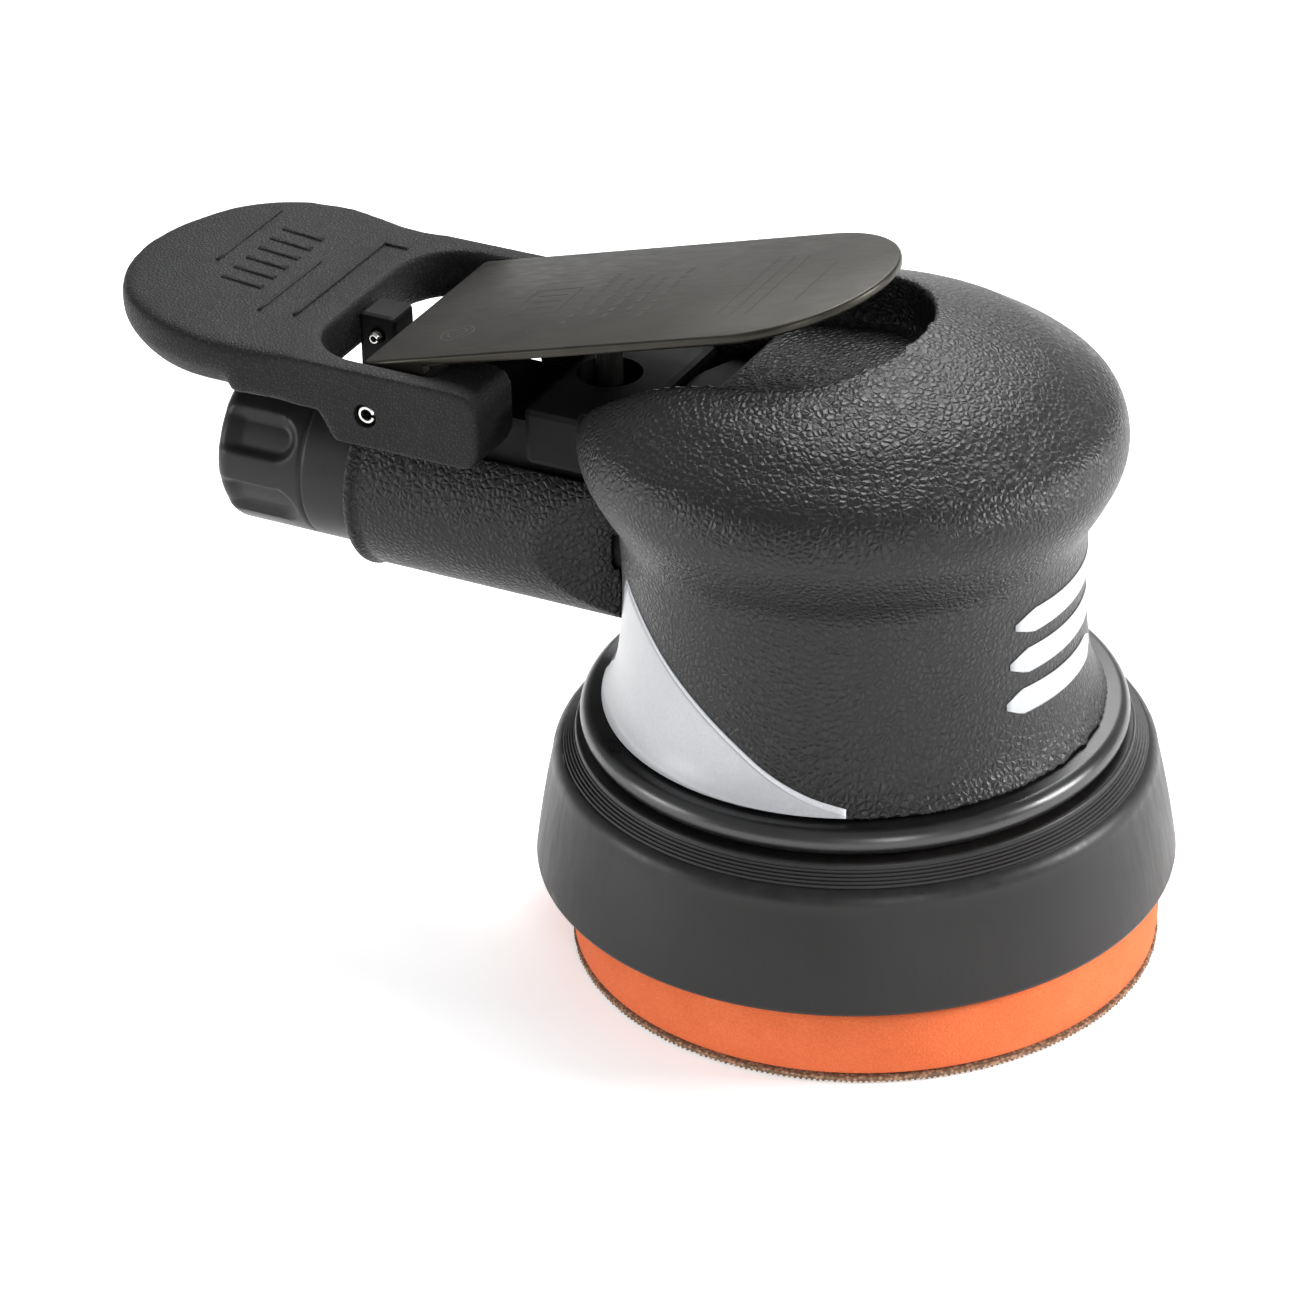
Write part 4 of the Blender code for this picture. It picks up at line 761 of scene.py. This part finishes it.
def make_bead():
    swell = 2.1 * MM
    bead_radius = 41.1 * MM
    low = SKIRT_HIGH.z + 0.3 * MM
    seat = 32.3 * MM
    bore = 25.6 * MM
    spigot = 27.2 * MM
    inner = 27.0 * MM
    profile = [(inner, RING_HIGH.z), (spigot, RING_HIGH.z), (spigot, low + 2 * swell)]
    profile += arc((bead_radius - swell, low + swell), swell, 80, -90, 16)
    profile += [(seat, low), (seat, RING_LOW.z), (bore, RING_LOW.z), (bore, RING_HIGH.z - MM)]
    form = rings_mesh(lathe(profile, 160))
    bead = to_object("lock_bead", form, "gloss")
    bead.data.set_sharp_from_angle(angle=math.radians(45))
    finish_piece(bead, "tool", ["lock_ring"])


def make_pad():
    centre = (PAD_CENTRE.x, PAD_CENTRE.y)
    low, high = PAD_LOW.z, PAD_HIGH.z
    side = []
    for index in range(13):
        share = index / 12
        bulge = 0.35 * MM * math.sin(math.pi * share) - 0.5 * MM * share ** 3
        side.append((PAD_RADIUS - 0.35 * MM + bulge, low + 0.3 * MM + share * (high - low - 0.7 * MM)))
    profile = [(0.05 * MM, low), (PAD_RADIUS - 0.8 * MM, low)] + side
    profile += [(PAD_RADIUS - 1.3 * MM, high), (0.05 * MM, high)]
    foam = to_object("pad_foam_disc", rings_mesh(lathe(profile, 192, centre)), "foam")
    foam.data.set_sharp_from_angle(angle=math.radians(50))
    finish_piece(foam, "pad", ["pad_foam"])
    hook = [(0.05 * MM, 0.25 * MM), (PAD_RADIUS - 0.4 * MM, 0.25 * MM), (PAD_RADIUS - 0.15 * MM, 0.45 * MM),
            (PAD_RADIUS - 0.15 * MM, HOOK_TOP - 0.1 * MM), (PAD_RADIUS - 0.4 * MM, HOOK_TOP),
            (0.05 * MM, HOOK_TOP)]
    layer = to_object("pad_hook_layer", rings_mesh(lathe(hook, 192, centre)), "hook")
    layer.data.set_sharp_from_angle(angle=math.radians(50))
    finish_piece(layer, "pad", ["pad_hook_face"])
    make_hooks(centre)


def make_hooks(centre):
    """Rows of tiny mushroom hooks under the pad's edge, which show as a dotted fringe."""
    rng = np.random.default_rng(7)
    form = bmesh.new()
    for ring_index, inset in enumerate((0.35 * MM, 1.15 * MM, 1.95 * MM)):
        ring_radius = PAD_RADIUS - inset
        count = 330 - 8 * ring_index
        for index in range(count):
            angle = math.tau * (index + 0.5 * ring_index) / count + rng.uniform(-0.1, 0.1) / count
            radius = ring_radius + rng.uniform(-0.08, 0.08) * MM
            place = Matrix.Translation((centre[0] + radius * math.cos(angle),
                                        centre[1] + radius * math.sin(angle), 0.26 * MM))
            bmesh.ops.create_icosphere(form, subdivisions=1, radius=0.24 * MM, matrix=place)
    hooks = to_object("pad_hook_fringe", form, "hook")
    finish_piece(hooks, "pad")


# ------------------------------------------------------------ wrist platform
def make_platform():
    """Paddle with a crowned top, a rounded nose and two arms down to the hinge pin."""
    half = 24.6 * MM
    arm = 23.2 * MM
    wall = 3.6 * MM
    rear = PLATFORM_LOW.x
    front = PLATFORM_HIGH.x
    arch = HINGE.x - 12.9 * MM
    top = HINGE.z + 7.0 * MM
    foot = top - 8.0 * MM
    centre = rear + half
    outline = []
    for index in range(33):
        angle = math.radians(90 + 180 * index / 32)
        outline.append((centre + half * math.cos(angle), half * math.sin(angle)))
    waist = [(share, 3 * share ** 2 - 2 * share ** 3) for share in (0.25, 0.5, 0.75, 1.0)]
    for share, ease in waist:
        outline.append((centre + share * (arch + MM - centre), -half + (half - arm) * ease))
    inner = arm - wall
    end_inner = arm - 11.2 * MM
    end_back = HINGE.x + 9.8 * MM
    ahead = front + 5 * MM
    outline += [(ahead, -arm), (ahead, -end_inner), (end_back, -end_inner), (end_back, -inner)]
    corner = 9.0 * MM
    for sign in (-1, 1):
        turn = range(13) if sign < 0 else range(12, -1, -1)
        for index in turn:
            angle = math.radians(7.5 * index)
            outline.append((arch + corner - corner * math.sin(angle),
                            sign * (inner - corner + corner * math.cos(angle))))
    outline += [(end_back, inner), (end_back, end_inner), (ahead, end_inner), (ahead, arm)]
    for share, ease in reversed(waist):
        outline.append((centre + share * (arch + MM - centre), half - (half - arm) * ease))
    platform = to_object("platform_paddle", prism(outline, foot - 30 * MM, top + 30 * MM), "platform")
    upper = curve_through([(rear - 6 * MM, top + 0.2 * MM, 0), (rear, top + 0.9 * MM, 0),
                           (rear + 10 * MM, top + 1.5 * MM, 0), (rear + 20 * MM, top + 1.1 * MM, 0),
                           (rear + 30 * MM, top + 0.2 * MM, 0), (rear + 36 * MM, top, 0),
                           (front - 4 * MM, top, 0)], 4)
    side = [(p.x, p.y) for p in upper]
    side += [(front - 1.2 * MM, top - 0.4 * MM), (front, top - 2.4 * MM), (front, HINGE.z - 2.4 * MM),
             (front - 1.2 * MM, HINGE.z - 5.0 * MM), (front - 3.5 * MM, HINGE.z - 5.5 * MM),
             (HINGE.x - 5.6 * MM, HINGE.z - 5.5 * MM), (HINGE.x - 8.2 * MM, foot)]
    lower = curve_through([(HINGE.x - 9 * MM, foot, 0), (rear + 20 * MM, foot, 0),
                           (rear + 10 * MM, foot + 0.8 * MM, 0), (rear + 2 * MM, foot + 2.6 * MM, 0),
                           (rear - 6 * MM, foot + 4.4 * MM, 0)], 4)
    side += [(p.x, p.y) for p in lower]
    cut = prism(side, -0.06, 0.06)
    cut.transform(ACROSS)
    carve(platform, cut, "INTERSECT")
    undercut = rings_mesh(lathe([(half - 3.2 * MM, foot - 3 * MM), (half - 2.8 * MM, foot + 0.4 * MM),
                                 (half - 1.4 * MM, foot + 2.2 * MM), (half - 0.4 * MM, foot + 4.0 * MM),
                                 (half + 9 * MM, foot + 4.0 * MM), (half + 9 * MM, foot - 3 * MM)], 96,
                                (centre, 0.0)))
    keep = to_object("undercut", undercut, None)
    carve(keep, block((rear - 20 * MM, -0.06, foot - 0.01), (centre + 4 * MM, 0.06, top)), "INTERSECT")
    undercut = bmesh.new()
    undercut.from_mesh(keep.data)
    bpy.data.objects.remove(keep, do_unlink=True)
    carve(platform, undercut)
    soften(platform, 0.5 * MM, 6)
    relax_where(platform, lambda p: (arch + 1 * MM - p.x) / (6 * MM), 50)
    carve(platform, rod(1.9 * MM, -40 * MM, 40 * MM, 32, Matrix.Translation((HINGE.x, 0, HINGE.z)) @ ACROSS))
    finish_piece(platform, "tool", ["wrist_platform"])
    make_badge(rear, top)


def make_badge(rear, top):
    """Plain raised lines across the paddle and short ribs between them, in place of its marks."""
    form = bmesh.new()

    def bar(x0, y0, x1, y1, width=0.55 * MM, height=0.32 * MM):
        start, end = Vector((x0, y0)), Vector((x1, y1))
        along = (end - start).normalized()
        side = Vector((-along.y, along.x)) * width / 2
        count = max(2, int((end - start).length / (2 * MM)))
        rows = []
        for index in range(count + 1):
            middle = start.lerp(end, index / count)
            level = platform_top(middle.x - rear, top)
            rows.append([(middle.x + side.x * k, middle.y + side.y * k, level + h)
                         for k, h in ((-1, -0.6 * MM), (-1, height * 0.6), (-0.6, height), (0.6, height),
                                      (1, height * 0.6), (1, -0.6 * MM))])
        piece = rings_mesh(rows, closed_rows=False, cap=True)
        mesh = bpy.data.meshes.new("bar")
        piece.to_mesh(mesh)
        piece.free()
        form.from_mesh(mesh)
        bpy.data.meshes.remove(mesh)

    lines = [((14.1, -2.0), (14.1, 17.0)), ((27.6, -12.4), (27.6, 6.0)), ((33.0, -11.0), (33.0, 16.0)),
             ((33.0, 16.0), (37.1, 16.0))]
    for (ax, ay), (bx, by) in lines:
        bar(rear + ax * MM, ay * MM, rear + bx * MM, by * MM)
    for index in range(6):
        y = (-6.0 + 3.6 * index) * MM
        bar(rear + 17.5 * MM, y, rear + 24.5 * MM, y, 1.1 * MM, 0.26 * MM)
    badge = to_object("platform_ribs", form, "platform")
    finish_piece(badge, "tool")


def platform_top(from_rear, top):
    """Height of the paddle's top at a distance from its rear end."""
    known = [(0, 0.9), (10, 1.5), (20, 1.1), (30, 0.2), (36, 0.0), (80, 0.0)]
    for (a, ha), (b, hb) in zip(known, known[1:]):
        if a * MM <= from_rear <= b * MM:
            share = (from_rear / MM - a) / (b - a)
            share = share * share * (3 - 2 * share)
            return top + (ha + (hb - ha) * share) * MM
    return top


# ------------------------------------------------------------ lever, pins
def lever_matrix():
    return Matrix.Translation(HINGE) @ Matrix.Rotation(-LEVER_ANGLE, 4, "Y")


def rounded_plate(outline, low, high, radius, steps=3):
    """A flat plate whose top and bottom edges are rounded by stacking inset outlines."""
    points = np.array(outline)
    before, after = np.roll(points, 1, 0), np.roll(points, -1, 0)
    tangent = after - before
    tangent /= np.linalg.norm(tangent, axis=1)[:, None]
    inward = np.stack([-tangent[:, 1], tangent[:, 0]], 1)
    levels = [(low + radius * (1 - math.cos(a)), radius * (1 - math.sin(a)))
              for a in [math.pi / 2 * i / steps for i in range(steps + 1)]]
    levels += [(high - (z - low), inset) for z, inset in reversed(levels)]
    rows = [[(x, y, z) for x, y in points + inward * inset] for z, inset in levels]
    return rings_mesh(rows, closed_rows=False, cap=True)


def make_lever():
    rear = -1.0 * MM
    length = 18.7 * MM
    centre = LEVER_REACH - length
    outline = [(rear, -LEVER_HALF + 0.8 * MM), (rear + 0.8 * MM, -LEVER_HALF)]
    outline += [(rear + share * (centre - rear), -LEVER_HALF) for share in (0.2, 0.4, 0.6, 0.8)]
    for index in range(0, 49):
        angle = math.radians(-90 + 180 * index / 48)
        outline.append((centre + length * math.cos(angle), LEVER_HALF * math.sin(angle)))
    outline += [(rear + share * (centre - rear), LEVER_HALF) for share in (0.8, 0.6, 0.4, 0.2)]
    outline += [(rear + 0.8 * MM, LEVER_HALF), (rear, LEVER_HALF - 0.8 * MM)]
    plate = rounded_plate(outline, LEVER_RISE - LEVER_THICK, LEVER_RISE, 0.5 * MM)
    lever = to_object("lever_blade", plate, "lever", smooth=False)
    ear = [(rear, LEVER_RISE - 0.6 * MM)] + arc((0.0, 0.0), 3.4 * MM, 195, 330, 14)
    ear += [(9.5 * MM, LEVER_RISE - LEVER_THICK - MM), (9.5 * MM, LEVER_RISE - 0.6 * MM)]
    for side in (-1, 1):
        wall = prism([(x, z) for x, z in ear], -LEVER_THICK / 2, LEVER_THICK / 2)
        wall.transform(Matrix.Translation((0, side * (LEVER_HALF - LEVER_THICK / 2), 0)) @ ACROSS)
        carve(lever, wall, "UNION")
    carve(lever, rod(1.9 * MM, -40 * MM, 40 * MM, 32, ACROSS))
    lever.data.transform(lever_matrix())
    lever.data.shade_smooth()
    lever.data.set_sharp_from_angle(angle=math.radians(40))
    finish_piece(lever, "lever", ["throttle_lever"])
    make_etching()


def make_etching():
    """Plain etched dashes, rings and frames on the lever, in place of its lettering."""
    form = bmesh.new()
    top = LEVER_RISE + 0.015 * MM
    foot = LEVER_RISE - 0.2 * MM

    def strip(points, width, closed=False):
        count = len(points)
        sides = []
        for index, point in enumerate(points):
            before = Vector(points[index - 1]) if closed or index else Vector(point)
            after = Vector(points[(index + 1) % count]) if closed or index < count - 1 else Vector(point)
            along = (after - before).normalized()
            sides.append(Vector((-along.y, along.x)) * width / 2)
        rows = [[(p[0] + s.x * k, p[1] + s.y * k, z) for k, z in ((-1, foot), (-1, top), (1, top), (1, foot))]
                for p, s in zip(points, sides)]
        piece = rings_mesh(rows, closed_rows=closed, cap=not closed)
        mesh = bpy.data.meshes.new("strip")
        piece.to_mesh(mesh)
        piece.free()
        form.from_mesh(mesh)
        bpy.data.meshes.remove(mesh)

    rng = np.random.default_rng(11)
    for column, x in enumerate((29, 32.2, 35.4, 38.6, 41.8)):
        reach = (9.5, 7.0, 8.2, 6.0, 9.0)[column]
        y = -reach
        while y < reach:
            length = 1.1 + 1.6 * rng.random()
            strip([(x * MM, y * MM), (x * MM, min(y + length, reach) * MM)], 0.9 * MM)
            y += length + 0.8
    for x, radius in ((11.0, 2.6), (11.0, 1.5)):
        turns = [math.tau * i / 32 for i in range(32)]
        ring = [(x * MM + radius * MM * math.cos(turn), -10 * MM + radius * MM * math.sin(turn))
                for turn in turns]
        strip(ring, 0.28 * MM, closed=True)
    frame_points = [(17, -4.5), (25, -4.5), (25, 4.5), (17, 4.5)]
    strip([(x * MM, y * MM) for x, y in frame_points], 0.3 * MM, closed=True)
    for offset in (-2.2, 0.0, 2.2):
        strip([(18.5 * MM, offset * MM), (23.5 * MM, offset * MM)], 0.3 * MM)
    for x, reach in ((56.0, 10.5), (58.6, 10.5), (61.2, 10.5), (67.5, 7.0)):
        strip([(x * MM, -reach * MM), (x * MM, reach * MM)], 0.34 * MM)
    etching = to_object("lever_marks", form, "etched", smooth=False)
    etching.data.transform(lever_matrix())
    finish_piece(etching, "lever")


def make_pins():
    half = (PIN_HIGH.y - PIN_LOW.y) / 2
    for name, node, place, outer, bore, reach, look in (
            ("hinge_spring_pin", "hinge_pin", HINGE, 1.6 * MM, 0.95 * MM, half, "pin"),
            ("small_spring_pin", "platform_pin", SMALL_PIN, 1.0 * MM, 0.5 * MM,
             (SMALL_HIGH.y - SMALL_LOW.y) / 2, "pin")):
        chamfer = 0.3 * MM
        gap = math.radians(14)
        rows = []
        for along, inset in ((-reach, chamfer), (-reach + chamfer, 0.0),
                             (reach - chamfer, 0.0), (reach, chamfer)):
            row = []
            for index in range(41):
                angle = gap + (math.tau - 2 * gap) * index / 40
                row.append(((outer - inset) * math.cos(angle), (outer - inset) * math.sin(angle), along))
            for index in range(40, -1, -1):
                angle = gap + (math.tau - 2 * gap) * index / 40
                row.append((bore * math.cos(angle), bore * math.sin(angle), along))
            rows.append(row)
        form = rings_mesh(rows, closed_rows=False, cap=True)
        form.transform(Matrix.Translation(place) @ ACROSS)
        pin = to_object(name, form, look)
        pin.data.set_sharp_from_angle(angle=math.radians(35))
        finish_piece(pin, "tool", [node])


# ------------------------------------------------------------ decals
def decal_sheet(name, look, columns, rows_count=16, lift=0.12 * MM, thick=0.1 * MM):
    """A thin skin on the grip: columns are (angle, low z, high z) round the waist."""
    form = bmesh.new()
    outer, inner = [], []
    for angle, low, high in columns:
        top_col, low_col = [], []
        for index in range(rows_count + 1):
            z = low + (high - low) * index / rows_count
            radius = grip_radius(z)
            for column, extra in ((top_col, lift), (low_col, lift - thick)):
                r = radius + extra
                column.append(form.verts.new((r * math.cos(angle), r * math.sin(angle), z)))
        outer.append(top_col)
        inner.append(low_col)
    for skin in (outer, inner):
        for left, right in zip(skin, skin[1:]):
            for index in range(rows_count):
                form.faces.new((left[index], right[index], right[index + 1], left[index + 1]))
    for index in range(rows_count):
        for column in (0, -1):
            form.faces.new((outer[column][index], outer[column][index + 1],
                            inner[column][index + 1], inner[column][index]))
    for row in (0, -1):
        for (a, b), (c, d) in zip(zip(outer, outer[1:]), zip(inner, inner[1:])):
            form.faces.new((a[row], b[row], d[row], c[row]))
    bmesh.ops.remove_doubles(form, verts=form.verts, dist=0.001 * MM)
    piece = to_object(name, form, look)
    finish_piece(piece, "tool")


def make_decals():
    """A crescent each side from the handle round to the front, with a lighter rim sheet along its top edge as
    a painted highlight, and plain bars at the front.
    """
    low = GRIP_FOOT + 0.4 * MM
    rise = [(-163, 40.6), (-158, 43.0), (-153, 47.4), (-147, 54.5), (-142, 60.2), (-138.3, 63.1)]
    fall = [(-138.3, 63.1), (-129.2, 60.3), (-117.7, 56.1), (-106.3, 52.1), (-94.8, 47.9),
            (-84.4, 44.1), (-75.0, 41.7), (-65.9, 40.3)]
    samples = curve_through([(a, z, 0) for a, z in rise], 4)[:-1]
    samples += curve_through([(a, z, 0) for a, z in fall], 6)
    for mirror, label in ((1, "right"), (-1, "left")):
        # The rim sheet shows as a lighter band above the face's top edge: a painted highlight of the decal's
        # edge.
        for part, look, grow, lift in (("rim", "decal_edge_highlight", 0.75 * MM, 0.10 * MM),
                                       ("face", "decal", 0.0, 0.16 * MM)):
            columns = [(mirror * math.radians(point.x), low, max(point.y * MM + grow, low + 0.05 * MM))
                       for point in samples]
            decal_sheet("crescent_" + label + "_" + part, look, columns, lift=lift)
    bars = [(-21.5, 62.2, 66.2), (-23.0, 56.0, 60.0), (-24.5, 49.8, 53.8)]
    for index, (start, bottom, top) in enumerate(bars):
        columns = []
        for step in range(25):
            share = step / 24
            angle = start + (56 - index * 6) * share
            taper = min(1.0, 9 * share, 9 * (1 - share))
            lean = 1.2 * share
            middle = (bottom + top) / 2
            half = (top - bottom) / 2 * (0.25 + 0.75 * taper)
            columns.append((math.radians(angle), (middle - half - lean) * MM, (middle + half - lean) * MM))
        decal_sheet("front_bar_" + str(index + 1), "decal", columns)


make_grip()
make_handle()
make_cap()
make_skirt()
make_bead()
make_pad()
make_platform()
make_lever()
make_pins()
make_decals()
